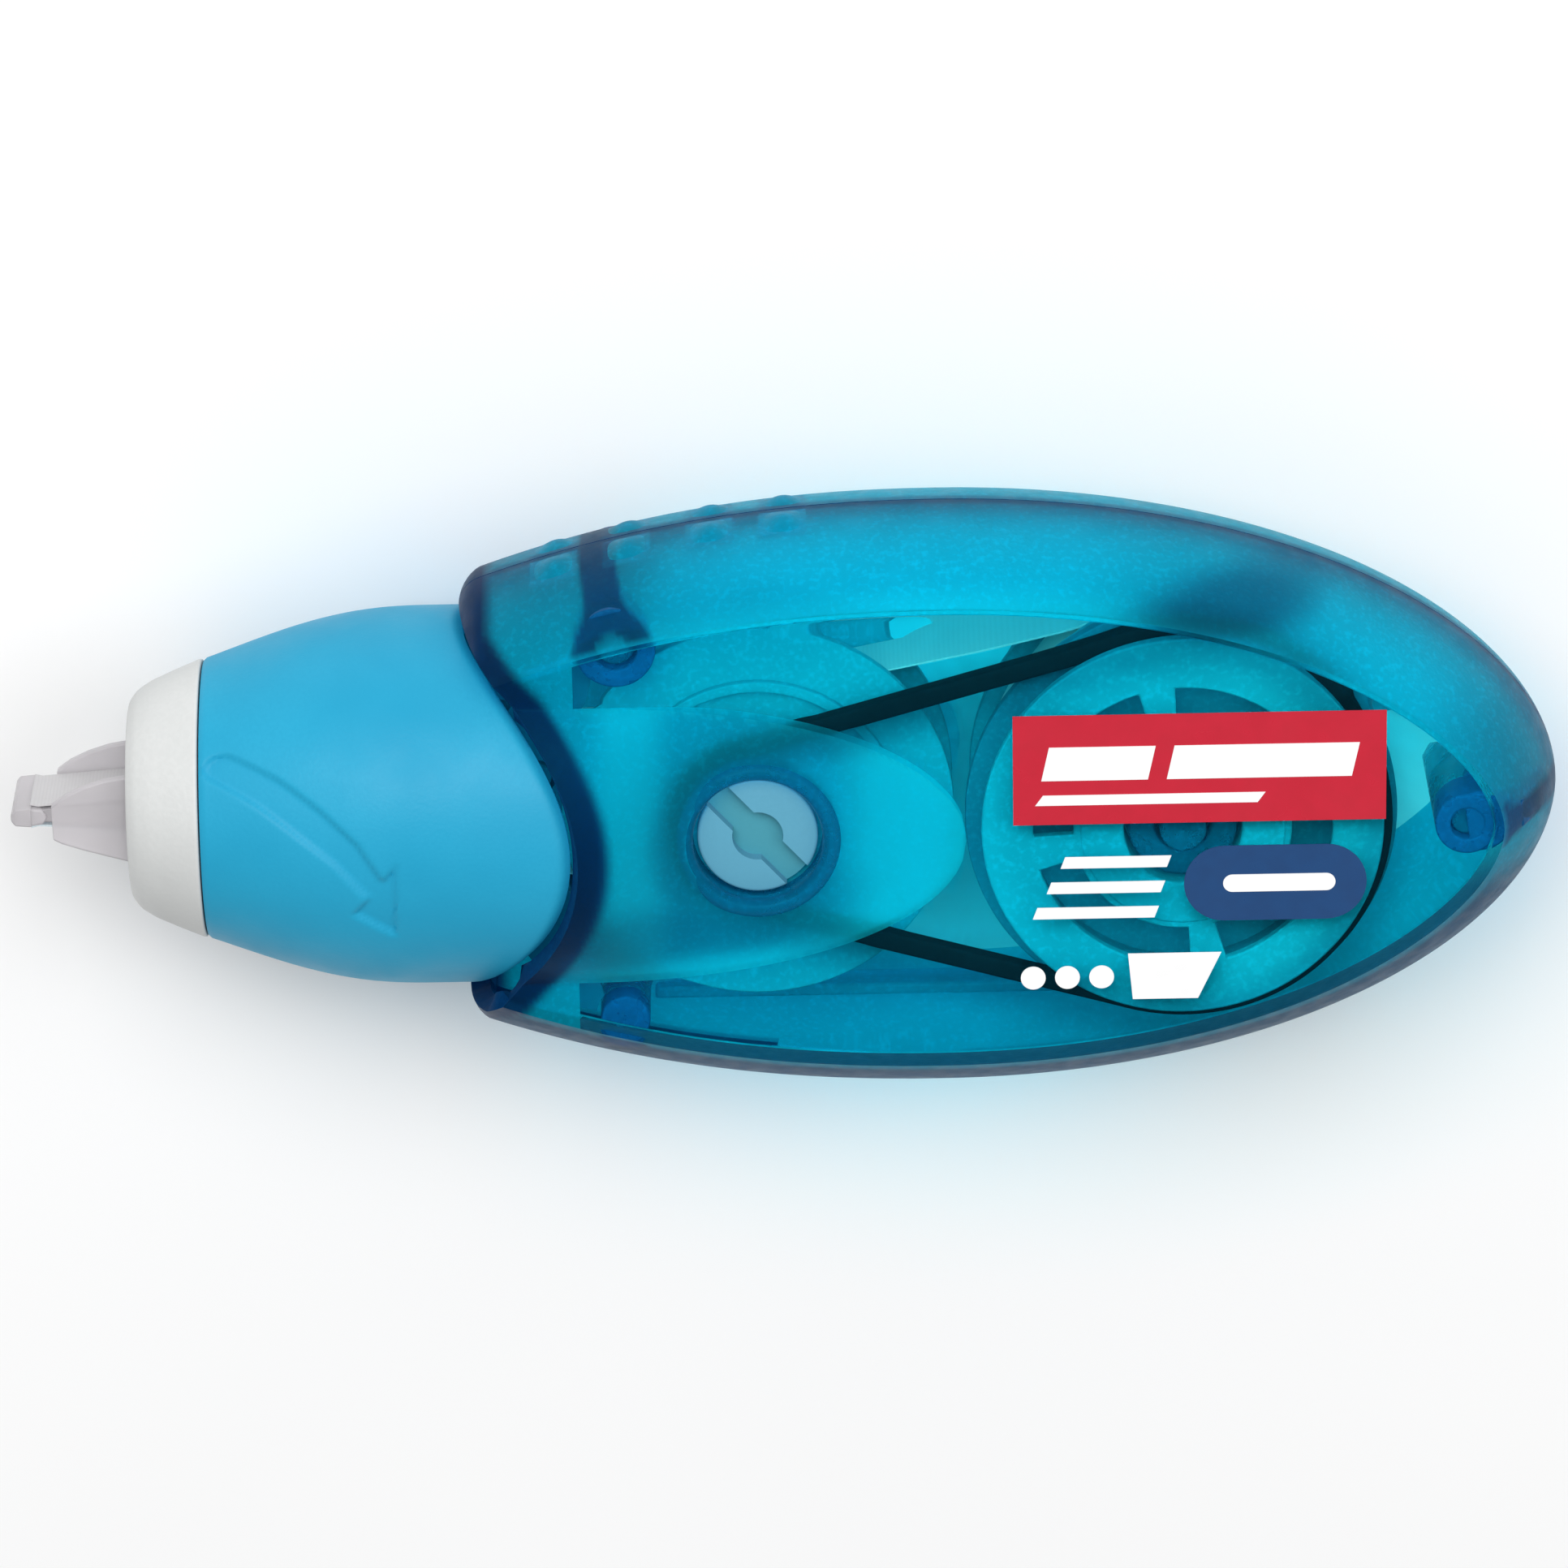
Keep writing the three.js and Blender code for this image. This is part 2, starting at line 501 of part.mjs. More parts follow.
add("front_shell", frontShell(), "shell");
add("rear_shell", rearShell(), "shell");
add("tip_carrier", tipCarrier(), "carrier");
add("applicator_tip", applicatorTip(), "tip");
add("tip_pin", disc(TIP_PIN.x, 0, TIP_PIN.r, -TIP_PIN.half, TIP_PIN.half, 0, 8), "carrier");
add("upper_guide_pin", guidePin(1), "carrier");
add("lower_guide_pin", guidePin(-1), "carrier");
add("nose_collar", noseCollar(), "collar");
add("collar_retainer", retainer(), "collar");
add("barrel_grip", barrelGrip(), "grip");
add("cam_sleeve", camSleeve(), "carrier");
add("supply_core", spoolRing(SUPPLY.x, SUPPLY.coreR, SUPPLY.boreR, -FLANGE.outer, FLANGE.outer), "spool");
add("supply_rear_flange",
  spoolRing(SUPPLY.x, SUPPLY.flangeR, SUPPLY.coreR + CLEAR, -FLANGE.outer, -FLANGE.inner), "spool");
add("supply_front_flange",
  spoolRing(SUPPLY.x, SUPPLY.flangeR, SUPPLY.coreR + CLEAR, FLANGE.inner, FLANGE.outer), "spool");
add("supply_tape_pack",
  spoolRing(SUPPLY.x, SUPPLY.packR, SUPPLY.coreR + CLEAR, -TAPE_HALF, TAPE_HALF), "tape");
add("slip_clutch_washer",
  spoolRing(SUPPLY.x, WASHER.r, SUPPLY.boreR + 1, FLANGE.outer + WASHER.gap, WASHER.front), "white");
add("supply_pulley", supplyPulley(), "spool");
add("takeup_hub", takeupHub(), "white");
add("takeup_core",
  spoolRing(TAKEUP.x, TAKEUP.coreR, TAKEUP.shaftR + CLEAR, -TAPE_HALF, TAPE_HALF), "spool");
add("takeup_rear_flange",
  spoolRing(TAKEUP.x, TAKEUP.flangeR, TAKEUP.shaftR + CLEAR, -FLANGE.outer, -FLANGE.inner), "spool");
add("takeup_front_flange", takeupFrontFlange(), "spool");
add("takeup_tape_pack",
  spoolRing(TAKEUP.x, TAKEUP.packR, TAKEUP.coreR + CLEAR, -TAPE_HALF, TAPE_HALF), "tape");
add("takeup_pulley", takeupPulley(), "spool");
add("drive_belt", driveBelt(), "belt");
add("tape_feed_run", feedRun(), "tape");
add("tape_return_run", returnRun(), "tape");

export default part;
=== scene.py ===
"""Twist correction tape roller: the fine visible pieces and their materials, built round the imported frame.

Lengths below are in millimetres, measured from the barrel's axis and the parting plane, and turn into
metres of the row frame in place(). X runs from the nose (-X) to the tail, Y across the height, Z out of
the front window.
"""
import math
import bmesh
import bpy
from mathutils import Matrix, Vector


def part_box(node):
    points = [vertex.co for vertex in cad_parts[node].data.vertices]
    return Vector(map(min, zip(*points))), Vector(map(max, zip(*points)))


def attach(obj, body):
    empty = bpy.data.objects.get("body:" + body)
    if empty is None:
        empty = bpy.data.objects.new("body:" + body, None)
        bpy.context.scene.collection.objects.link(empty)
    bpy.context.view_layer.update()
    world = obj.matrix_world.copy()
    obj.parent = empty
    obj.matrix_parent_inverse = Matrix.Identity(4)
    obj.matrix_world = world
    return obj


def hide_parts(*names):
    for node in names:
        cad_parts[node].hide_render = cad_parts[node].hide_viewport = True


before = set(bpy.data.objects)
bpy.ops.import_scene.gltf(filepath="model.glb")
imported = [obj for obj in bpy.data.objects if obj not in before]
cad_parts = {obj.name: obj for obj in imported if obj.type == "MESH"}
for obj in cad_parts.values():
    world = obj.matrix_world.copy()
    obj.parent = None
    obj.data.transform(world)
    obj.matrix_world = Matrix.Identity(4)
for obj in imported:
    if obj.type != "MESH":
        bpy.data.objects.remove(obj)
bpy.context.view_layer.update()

MM = 0.001
collar_low, collar_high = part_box("nose_collar")
AXIS_Y = (collar_low.y + collar_high.y) / 2
MID_Z = (collar_low.z + collar_high.z) / 2


def box_mm(node):
    """A CAD node's lowest and highest corners in millimetres from the barrel's axis."""
    low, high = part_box(node)
    shift = Vector((0, AXIS_Y, MID_Z))
    return (low - shift) / MM, (high - shift) / MM


def centre_mm(node):
    low, high = box_mm(node)
    return (low + high) / 2


SUPPLY_X = centre_mm("supply_pulley").x
TAKEUP_X = centre_mm("takeup_hub").x

# ---- body form, as in the CAD ----
HALF_HEIGHT = 19.77
CREST_X = 10.0
TAIL_X = 50.0
NOSE_CUT_X = -20.7
NOSE_DROP, NOSE_POWER = 5.3, 2.2
TAIL_POWERS = (2.05, 1.85)
PANEL_Z = 9.35
CROWN = 4.0
WALL = 1.3
FAN_X = 34.0  # rays of the shell grid fan out from here to the tail
WINDOW_START_X = -13.4  # the polished window begins behind the upper boss's front edge
BULGE_FULL_X, BULGE_TIP_X, BULGE_FADE_X = -13.6, 11.6, -3.0
BULGE_HALF, BULGE_RISE, DISH = 9.5, 3.95, 0.75
MOUTH_X, MOUTH_R, MOUTH_DEPTH = -13.2, 13.3, 7.4
PARTING_GAP = 0.05
BELT_Z, BELT_BIG, BELT_SMALL = 6.0, 12.9, 5.5
# Bosses: x, y, radius, bore, top, foot of the dark ring, and where each one's web meets the wall
BOSSES = (
    (-10.6, 12.8, 2.6, 1.4, 7.2, -8.0, (-11.6, 16.6)),
    (-10.5, -13.2, 1.6, 0.0, 6.6, 4.6, (-11.0, -16.2)),
    (43.7, 0.0, 2.05, 1.05, 7.9, 4.9, (48.4, 0.6)),
)
HORN_R = 1.3  # rounding of the two nose corners of each shell


def smooth(low, high, value):
    t = min(1.0, max(0.0, (value - low) / (high - low)))
    return t * t * (3 - 2 * t)


def half_height(x):
    if x < CREST_X:
        run = (CREST_X - x) / (CREST_X - NOSE_CUT_X)
        corner = max(0.0, 1 - (x - NOSE_CUT_X) / HORN_R)
        rounding = HORN_R * (1 - math.sqrt(max(0.0, 1 - min(1.0, corner) ** 2)))
        return HALF_HEIGHT - NOSE_DROP * run ** NOSE_POWER - rounding
    run = min(1.0, (x - CREST_X) / (TAIL_X - CREST_X))
    return HALF_HEIGHT * max(0.0, 1 - run ** TAIL_POWERS[0]) ** (1 / TAIL_POWERS[1])


def outline_slope(x):
    """Cosine of the outline's lean at x."""
    step = 0.05
    rise = half_height(x + step) - half_height(x - step)
    return 2 * step / math.hypot(2 * step, rise)


def bulge_width(x):
    if x < BULGE_FULL_X:
        return BULGE_HALF
    run = min(1.0, (x - BULGE_FULL_X) / (BULGE_TIP_X - BULGE_FULL_X))
    return BULGE_HALF * math.sqrt(max(0.0, 1 - run ** 2.2))


def bulge_rise(x):
    """Height of the bulge's crest above the panel: the barrel's round at the mouth, then a shallow dish."""
    down = smooth(BULGE_FULL_X - 1.5, BULGE_FADE_X, x)
    dish = smooth(BULGE_FULL_X + 3, -4.0, x) * (1 - smooth(0.0, BULGE_TIP_X, x))
    return BULGE_RISE * (1 - down) - DISH * dish


def mouth_x(y):
    return MOUTH_X - MOUTH_DEPTH * (y / MOUTH_R) ** 2


def mouth_y(x):
    """How far from the axis the mouth's edge is at x."""
    return MOUTH_R * math.sqrt(max(0.0, (MOUTH_X - x) / MOUTH_DEPTH))


def crown_z(inset):
    """Height of the side surface where the outline has been pulled in by inset."""
    return PANEL_Z * math.sqrt(min(1.0, max(0.0, inset / CROWN)))


# ---- mesh helpers ----
SHARP_ANGLE = math.radians(42)  # edges steeper than this show as creases


def place(point):
    x, y, z = point
    return Vector((x * MM, y * MM + AXIS_Y, z * MM + MID_Z))


def new_object(name, mesh, materials, body, replaces=(), shade_smooth=True):
    for material in materials:
        mesh.materials.append(material)
    for polygon in mesh.polygons:
        polygon.use_smooth = shade_smooth
    mesh.set_sharp_from_angle(angle=SHARP_ANGLE)
    obj = bpy.data.objects.new(name, mesh)
    bpy.context.scene.collection.objects.link(obj)
    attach(obj, body)
    if replaces:
        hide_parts(*replaces)
    return obj


def mesh_from(name, points, faces, regions=None):
    """A mesh from points in millimetres, with doubled points and collapsed faces taken out."""
    bm = bmesh.new()
    verts = [bm.verts.new(place(p)) for p in points]
    for index, face in enumerate(faces):
        try:
            made = bm.faces.new([verts[i] for i in face])
        except ValueError:
            continue
        if regions:
            made.material_index = regions[index]
    bmesh.ops.remove_doubles(bm, verts=bm.verts, dist=0.004 * MM)
    bmesh.ops.dissolve_degenerate(bm, edges=bm.edges, dist=0.002 * MM)
    loose = [v for v in bm.verts if not v.link_faces]
    bmesh.ops.delete(bm, geom=loose, context="VERTS")
    bmesh.ops.recalc_face_normals(bm, faces=bm.faces)
    mesh = bpy.data.meshes.new(name)
    bm.to_mesh(mesh)
    bm.free()
    return mesh


def grid_faces(rows, columns, wrap_rows=False, wrap_columns=False):
    faces = []
    for r in range(rows if wrap_rows else rows - 1):
        for c in range(columns if wrap_columns else columns - 1):
            r2, c2 = (r + 1) % rows, (c + 1) % columns
            faces.append((r * columns + c, r * columns + c2, r2 * columns + c2, r2 * columns + c))
    return faces


def turned_x(name, profile, steps=128):
    """A closed profile of (x, radius) turned about the barrel's axis."""
    points = []
    for step in range(steps):
        angle = 2 * math.pi * step / steps
        points += [(x, r * math.sin(angle), r * math.cos(angle)) for x, r in profile]
    return mesh_from(name, points, grid_faces(steps, len(profile), True, True))


def turned_z(name, centre_x, profile, steps=128, centre_y=0.0):
    """A closed profile of (radius, z) turned about an axis along Z."""
    points = []
    for step in range(steps):
        angle = 2 * math.pi * step / steps
        across, up = math.cos(angle), math.sin(angle)
        points += [(centre_x + r * across, centre_y + r * up, z) for r, z in profile]
    return mesh_from(name, points, grid_faces(steps, len(profile), True, True))


def rounded(corners, radius, steps=3):
    """A closed profile with every corner rounded."""
    result = []
    count = len(corners)
    for i, corner in enumerate(corners):
        here = Vector(corner)
        before = (Vector(corners[i - 1]) - here)
        after = (Vector(corners[(i + 1) % count]) - here)
        reach = min(radius, before.length * 0.45, after.length * 0.45)
        start, end = here + before.normalized() * reach, here + after.normalized() * reach
        for step in range(steps + 1):
            t = step / steps
            result.append(tuple((1 - t) ** 2 * start + 2 * t * (1 - t) * here + t * t * end))
    return result


def ring_profile(inner, outer, low, high, radius=0.15):
    return rounded([(inner, low), (outer, low), (outer, high), (inner, high)], radius)


def extruded(name, outline, low, high, holes=()):
    """A flat outline with holes, as a plate from low to high."""
    bm = bmesh.new()
    edges = []
    for loop in (outline, *holes):
        ring = [bm.verts.new(place((x, y, low))) for x, y in loop]
        edges += [bm.edges.new((ring[i - 1], ring[i])) for i in range(len(ring))]
    made = bmesh.ops.triangle_fill(bm, use_beauty=True, edges=edges)
    faces = [g for g in made["geom"] if isinstance(g, bmesh.types.BMFace)]
    extent = bmesh.ops.extrude_face_region(bm, geom=faces)
    moved = [g for g in extent["geom"] if isinstance(g, bmesh.types.BMVert)]
    bmesh.ops.translate(bm, vec=Vector((0, 0, (high - low) * MM)), verts=moved)
    bmesh.ops.recalc_face_normals(bm, faces=bm.faces)
    mesh = bpy.data.meshes.new(name)
    bm.to_mesh(mesh)
    bm.free()
    return mesh


def soften(obj, width, segments=2, angle=35):
    """Rounds the edges of a plate and keeps its flats flat."""
    bevel = obj.modifiers.new("edges", "BEVEL")
    bevel.width = width * MM
    bevel.segments = segments
    bevel.limit_method = "ANGLE"
    bevel.angle_limit = math.radians(angle)
    bevel.harden_normals = False
    obj.modifiers.new("normals", "WEIGHTED_NORMAL").keep_sharp = True


def circle(x, y, radius, steps=48, start=0.0, end=2 * math.pi, closed=True):
    count = steps if closed else steps + 1
    return [
        (x + radius * math.cos(start + (end - start) * i / steps),
         y + radius * math.sin(start + (end - start) * i / steps))
        for i in range(count)
    ]


def bar_shape(x0, x1, y0, y1, lean=0.0):
    """A rectangle whose upper edge may be shifted along X."""
    return [(x0, y0), (x1, y0), (x1 + lean, y1), (x0 + lean, y1)]


# ---- materials ----
def node(tree, kind, **values):
    made = tree.nodes.new(kind)
    for name, value in values.items():
        setattr(made, name, value)
    return made


class Paint:
    """A principled material with helpers for noise, ramps and bump."""

    def __init__(self, name, colour, roughness, **sockets):
        self.material = bpy.data.materials.new(name)
        self.material.use_nodes = True
        self.tree = self.material.node_tree
        self.shader = self.tree.nodes["Principled BSDF"]
        self.output = self.tree.nodes["Material Output"]
        self.shader.inputs["Base Color"].default_value = (*colour, 1)
        self.shader.inputs["Roughness"].default_value = roughness
        for socket, value in sockets.items():
            self.shader.inputs[socket.replace("_", " ")].default_value = value
        self.coordinates = node(self.tree, "ShaderNodeTexCoord")

    def noise(self, scale, detail=3.0):
        made = node(self.tree, "ShaderNodeTexNoise")
        made.inputs["Scale"].default_value = scale
        made.inputs["Detail"].default_value = detail
        self.tree.links.new(self.coordinates.outputs["Object"], made.inputs["Vector"])
        return made.outputs["Fac"]

    def ramp(self, source, low, high, from_low=0.35, from_high=0.65):
        made = node(self.tree, "ShaderNodeMapRange")
        made.inputs["From Min"].default_value = from_low
        made.inputs["From Max"].default_value = from_high
        made.inputs["To Min"].default_value = low
        made.inputs["To Max"].default_value = high
        self.tree.links.new(source, made.inputs["Value"])
        return made.outputs["Result"]

    def blend(self, factor, first, second):
        made = node(self.tree, "ShaderNodeMix", data_type="RGBA")
        self.tree.links.new(factor, made.inputs[0])
        for socket, colour in ((made.inputs[6], first), (made.inputs[7], second)):
            if isinstance(colour, tuple):
                socket.default_value = (*colour, 1)
            else:
                self.tree.links.new(colour, socket)
        return made.outputs[2]

    def colour(self, source):
        self.tree.links.new(source, self.shader.inputs["Base Color"])

    def roughness(self, source):
        self.tree.links.new(source, self.shader.inputs["Roughness"])

    def bump(self, source, distance, strength=1.0):
        made = node(self.tree, "ShaderNodeBump")
        made.inputs["Distance"].default_value = distance * MM
        made.inputs["Strength"].default_value = strength
        self.tree.links.new(source, made.inputs["Height"])
        self.tree.links.new(made.outputs["Normal"], self.shader.inputs["Normal"])

    def lets_lamps_through(self, tint):
        """Lamp light passes straight through the plastic, tinted."""
        clear = node(self.tree, "ShaderNodeBsdfTransparent")
        clear.inputs["Color"].default_value = (*tint, 1)
        path = node(self.tree, "ShaderNodeLightPath")
        mix = node(self.tree, "ShaderNodeMixShader")
        self.tree.links.new(path.outputs["Is Shadow Ray"], mix.inputs[0])
        self.tree.links.new(self.shader.outputs[0], mix.inputs[1])
        self.tree.links.new(clear.outputs[0], mix.inputs[2])
        self.tree.links.new(mix.outputs[0], self.output.inputs["Surface"])


SHEEN = (0.02, 0.45, 0.70, 1)  # the teal plastic's own colour in its soft reflections
WHITE_SHEEN = (1, 1, 1, 1)


def see_through(name, colour, roughness, lamp_tint, clearness=1.0, grain=0.0, marks=(), shine=0.2,
                ior=1.3, sheen=SHEEN):
    """Tinted translucent plastic, polished or fine-textured. A mark is a mesh mask and its colour."""
    paint = Paint(name, colour, roughness, IOR=ior, Transmission_Weight=clearness, Specular_IOR_Level=shine,
                  Specular_Tint=sheen)
    darker = tuple(0.92 * c for c in colour)
    cloud = paint.blend(paint.ramp(paint.noise(140, 2.0), 0.0, 1.0), colour, darker)
    dust = paint.ramp(paint.noise(2600, 2.0), 0.0, 1.0, 0.5, 0.7)
    base = paint.blend(dust, cloud, tuple(1.22 * c for c in colour)) if grain else cloud
    for mask_name, mark in marks:
        mask = node(paint.tree, "ShaderNodeAttribute", attribute_name=mask_name)
        base = paint.blend(mask.outputs["Fac"], base, mark)
    paint.colour(base)
    if grain:
        paint.bump(paint.noise(4200, 2.0), grain, 0.6)
        paint.roughness(paint.ramp(paint.noise(900, 2.0), roughness - 0.05, roughness + 0.05))
    else:
        paint.bump(paint.noise(60, 1.0), 0.01, 0.15)
        paint.roughness(paint.ramp(paint.noise(500, 4.0), roughness, roughness + 0.03, 0.5, 0.75))
    paint.lets_lamps_through(lamp_tint)
    return paint.material


def moulded(name, colour, dark, roughness, grain=0.02, speckle=3800, **sockets):
    """Opaque moulded plastic with a fine eroded texture, a little uneven in colour and shine."""
    paint = Paint(name, colour, roughness, **sockets)
    cloud = paint.noise(90, 3.0)
    fine = paint.noise(speckle, 3.0)
    base = paint.blend(paint.ramp(cloud, 0.0, 1.0), colour, dark)
    paint.colour(paint.blend(paint.ramp(fine, 0.0, 0.35), base, dark))
    paint.roughness(paint.ramp(paint.noise(260, 4.0), roughness - 0.06, roughness + 0.06))
    paint.bump(fine, grain, 0.7)
    return paint.material


# Colours of the shells' painted marks: the bright teal is painted light (thin mask); navy is painted shade
# with the dark seam line (edge mask) and is also the rim faces' colour.
NAVY, PAINTED_LIGHT_TEAL = (0.003, 0.05, 0.16), (0.008, 0.86, 0.98)
MARKS = (("thin", PAINTED_LIGHT_TEAL), ("edge", NAVY))
WINDOW = see_through("window_teal", (0.36, 0.97, 0.99), 0.02, (0.66, 0.985, 0.99), marks=MARKS, ior=1.4)
FROST = see_through("frosted_teal", (0.001, 0.56, 0.73), 0.45, (0.40, 0.85, 0.92), 0.8, 0.03, MARKS, 0.06)
RIM = see_through("rim_navy", NAVY, 0.5, (0.2, 0.5, 0.7), 0.3, 0.02, shine=0.05)
BOSS = see_through("boss_teal", (0.002, 0.20, 0.36), 0.3, (0.5, 0.8, 0.9), 0.6, 0.006, shine=0.08)
PINS = see_through("boss_navy", (0.004, 0.10, 0.27), 0.3, (0.4, 0.7, 0.85), 0.3, 0.006, shine=0.08)
POST = see_through("post_teal", (0.02, 0.62, 0.78), 0.25, (0.7, 0.93, 0.96), 0.9, 0.004, shine=0.05)
SPOOL = see_through("spool_teal", (0.012, 0.37, 0.47), 0.4, (0.6, 0.8, 0.85), 0.3, 0.006, shine=0.1)
# painted shade: a darker copy of the spool teal for the groove and back disc, deep inside the pulley
SHADED_SPOOL = see_through("spool_shade", (0.008, 0.21, 0.30), 0.4, (0.6, 0.8, 0.85), 0.3, 0.006, shine=0.1)
# painted shade: the tip carrier, its pins and the cam sleeve are darkened to read as the dark gap behind the
# barrel
CARRIER_IN_SHADE = see_through("carrier_teal", (0.004, 0.16, 0.27), 0.35, (0.6, 0.8, 0.85), 0.3, shine=0.1)
TIP = see_through("smoky_clear", (0.64, 0.62, 0.64), 0.3, (0.8, 0.79, 0.8), 0.4, shine=0.3,
                  sheen=WHITE_SHEEN)
GRIP = moulded("grip_satin", (0.016, 0.36, 0.58), (0.011, 0.32, 0.53), 0.5, Specular_IOR_Level=0.25)
COLLAR = moulded("collar_satin", (0.65, 0.665, 0.66), (0.58, 0.595, 0.59), 0.55, 0.03, 2600)
HUB = moulded("hub_pale", (0.115, 0.38, 0.53), (0.10, 0.34, 0.48), 0.45, 0.01, Specular_IOR_Level=0.2)
# painted shade: the hub's colour darkened for the floor of its slot
SLOT_IN_SHADE = moulded("hub_slot", (0.07, 0.33, 0.42), (0.06, 0.30, 0.38), 0.45, 0.01, Specular_IOR_Level=0.2)
WASHER = moulded("washer_satin", (0.30, 0.55, 0.60), (0.26, 0.50, 0.55), 0.5, 0.01)
RUBBER = moulded("rubber_matt", (0.004, 0.009, 0.014), (0.002, 0.004, 0.008), 0.8, 0.03, 2400,
                 Specular_IOR_Level=0.1)


def tape_material(name, colour, dark):
    """Wound tape: fine turns across the pack's face, a slight satin shine on the film."""
    paint = Paint(name, colour, 0.45)
    turns = node(paint.tree, "ShaderNodeTexWave", wave_type="RINGS", rings_direction="Z")
    turns.inputs["Scale"].default_value = 1400
    turns.inputs["Distortion"].default_value = 0.6
    shift = node(paint.tree, "ShaderNodeMapping")
    shift.inputs["Location"].default_value = (-SUPPLY_X * MM, -AXIS_Y, 0)
    paint.tree.links.new(paint.coordinates.outputs["Object"], shift.inputs["Vector"])
    paint.tree.links.new(shift.outputs["Vector"], turns.inputs["Vector"])
    paint.colour(paint.blend(paint.ramp(turns.outputs["Fac"], 0.0, 0.5, 0.0, 1.0), colour, dark))
    paint.roughness(paint.ramp(paint.noise(300, 3.0), 0.38, 0.52))
    paint.bump(turns.outputs["Fac"], 0.01, 0.5)
    return paint.material


BACKING = tape_material("tape_backing", (0.58, 0.57, 0.58), (0.53, 0.52, 0.53))
TAPE = tape_material("white_turns", (0.86, 0.86, 0.83), (0.72, 0.73, 0.71))
FILM = tape_material("film_turns", (0.62, 0.72, 0.75), (0.52, 0.62, 0.66))


def ink(name, colour, worn):
    """Printed ink: a thin glossy film with a faint unevenness."""
    paint = Paint(name, colour, 0.3, IOR=1.5)
    paint.colour(paint.blend(paint.ramp(paint.noise(700, 4.0), 0.0, 1.0), colour, worn))
    paint.roughness(paint.ramp(paint.noise(350, 3.0), 0.26, 0.38))
    paint.bump(paint.noise(2600, 2.0), 0.005, 0.4)
    return paint.material


INK_RED = ink("ink_red", (0.55, 0.010, 0.032), (0.52, 0.009, 0.029))
INK_NAVY = ink("ink_navy", (0.006, 0.055, 0.18), (0.005, 0.049, 0.165))
INK_WHITE = ink("ink_white", (0.94, 0.94, 0.94), (0.90, 0.90, 0.90))


# ---- shells ----
SIDE_STEPS, PANEL_STEPS, BULGE_STEPS = 22, 10, 18
HUB_HOLE_R = 4.6


def ray_radius(angle):
    """Distance from the fan's centre to the outline in a direction."""
    low, high = 0.0, 30.0
    for _ in range(40):
        r = (low + high) / 2
        x = FAN_X + r * math.cos(angle)
        inside = x < TAIL_X and r * math.sin(angle) < half_height(x)
        low, high = (r, high) if inside else (low, r)
    return low


def shell_ray(start, end, squareness, bulged):
    """Points from the outline inwards, with the region of each: 0 side, 1 panel, 2 bulge."""
    length = math.dist(start, end)

    def at(distance):
        t = min(1.0, distance / length) if length > 0 else 0.0
        return (start[0] + (end[0] - start[0]) * t, start[1] + (end[1] - start[1]) * t)

    panel_at = min(length, CROWN / squareness)
    bulge_at = length
    if bulged:
        bulge_at = min(length, max(panel_at, start[1] - bulge_width(start[0])))
    row = []
    for step in range(SIDE_STEPS + 1):
        rise = step / SIDE_STEPS
        distance = min(length, panel_at, CROWN * rise ** 2 / squareness)
        inset = distance * squareness
        row.append((*at(distance), crown_z(inset)))
    for step in range(1, PANEL_STEPS + 1):
        distance = panel_at + (bulge_at - panel_at) * step / PANEL_STEPS
        row.append((*at(distance), crown_z(distance * squareness)))
    for step in range(1, BULGE_STEPS + 1):
        distance = bulge_at + (length - bulge_at) * step / BULGE_STEPS
        x, y = at(distance)
        width = bulge_width(x)
        share = min(1.0, abs(y) / width) if width > 0 else 1.0
        z = crown_z(distance * squareness)
        row.append((x, y, z + (bulge_rise(x) * (1 - share ** 2) if bulged else 0.0)))
    return row


def shell_stations():
    mouth = [mouth_x(MOUTH_R * (1 - i / 30)) for i in range(31)]
    middle = [MOUTH_X + (BULGE_TIP_X - MOUTH_X) * i / 96 for i in range(1, 97)]
    rear = [BULGE_TIP_X + (FAN_X - BULGE_TIP_X) * i / 34 for i in range(1, 34)]
    corner = [NOSE_CUT_X + HORN_R * (i / 8) ** 2 for i in range(9)]
    return sorted(corner + mouth + middle + rear)


def shell_surface(side):
    """Outer surface of one shell, as points and faces with their region."""
    upper = []
    for x in shell_stations():
        top = half_height(x)
        bottom = min(top, mouth_y(x)) if x < MOUTH_X else 0.0
        upper.append(shell_ray((x, top), (x, bottom), outline_slope(x), x <= BULGE_TIP_X))
    fan = 40
    for i in range(fan + 1):
        angle = math.pi / 2 * (1 - i / fan)
        r = ray_radius(angle)
        x = min(TAIL_X, FAN_X + r * math.cos(angle))
        y = r * math.sin(angle)
        step = 0.004
        near = ray_radius(min(math.pi / 2, angle + step))
        square = r / math.hypot(r, (near - r) / step) if i else outline_slope(FAN_X)
        upper.append(shell_ray((x, y), (FAN_X, 0.0), square, False))
    lower = [[(x, -y, z) for x, y, z in row] for row in reversed(upper)]
    rows = upper + lower
    columns = len(rows[0])
    points = [(x, y, side * (z + PARTING_GAP)) for row in rows for x, y, z in row]
    faces = grid_faces(len(rows), columns)
    regions = []
    for index in range(len(faces)):
        column = index % (columns - 1)
        row = index // (columns - 1)
        x = rows[row][column][0]
        panel = SIDE_STEPS <= column < SIDE_STEPS + PANEL_STEPS
        clear = panel or (column >= SIDE_STEPS and x > BULGE_TIP_X)
        regions.append(0 if clear and x > WINDOW_START_X else 1)
    return points, faces, regions


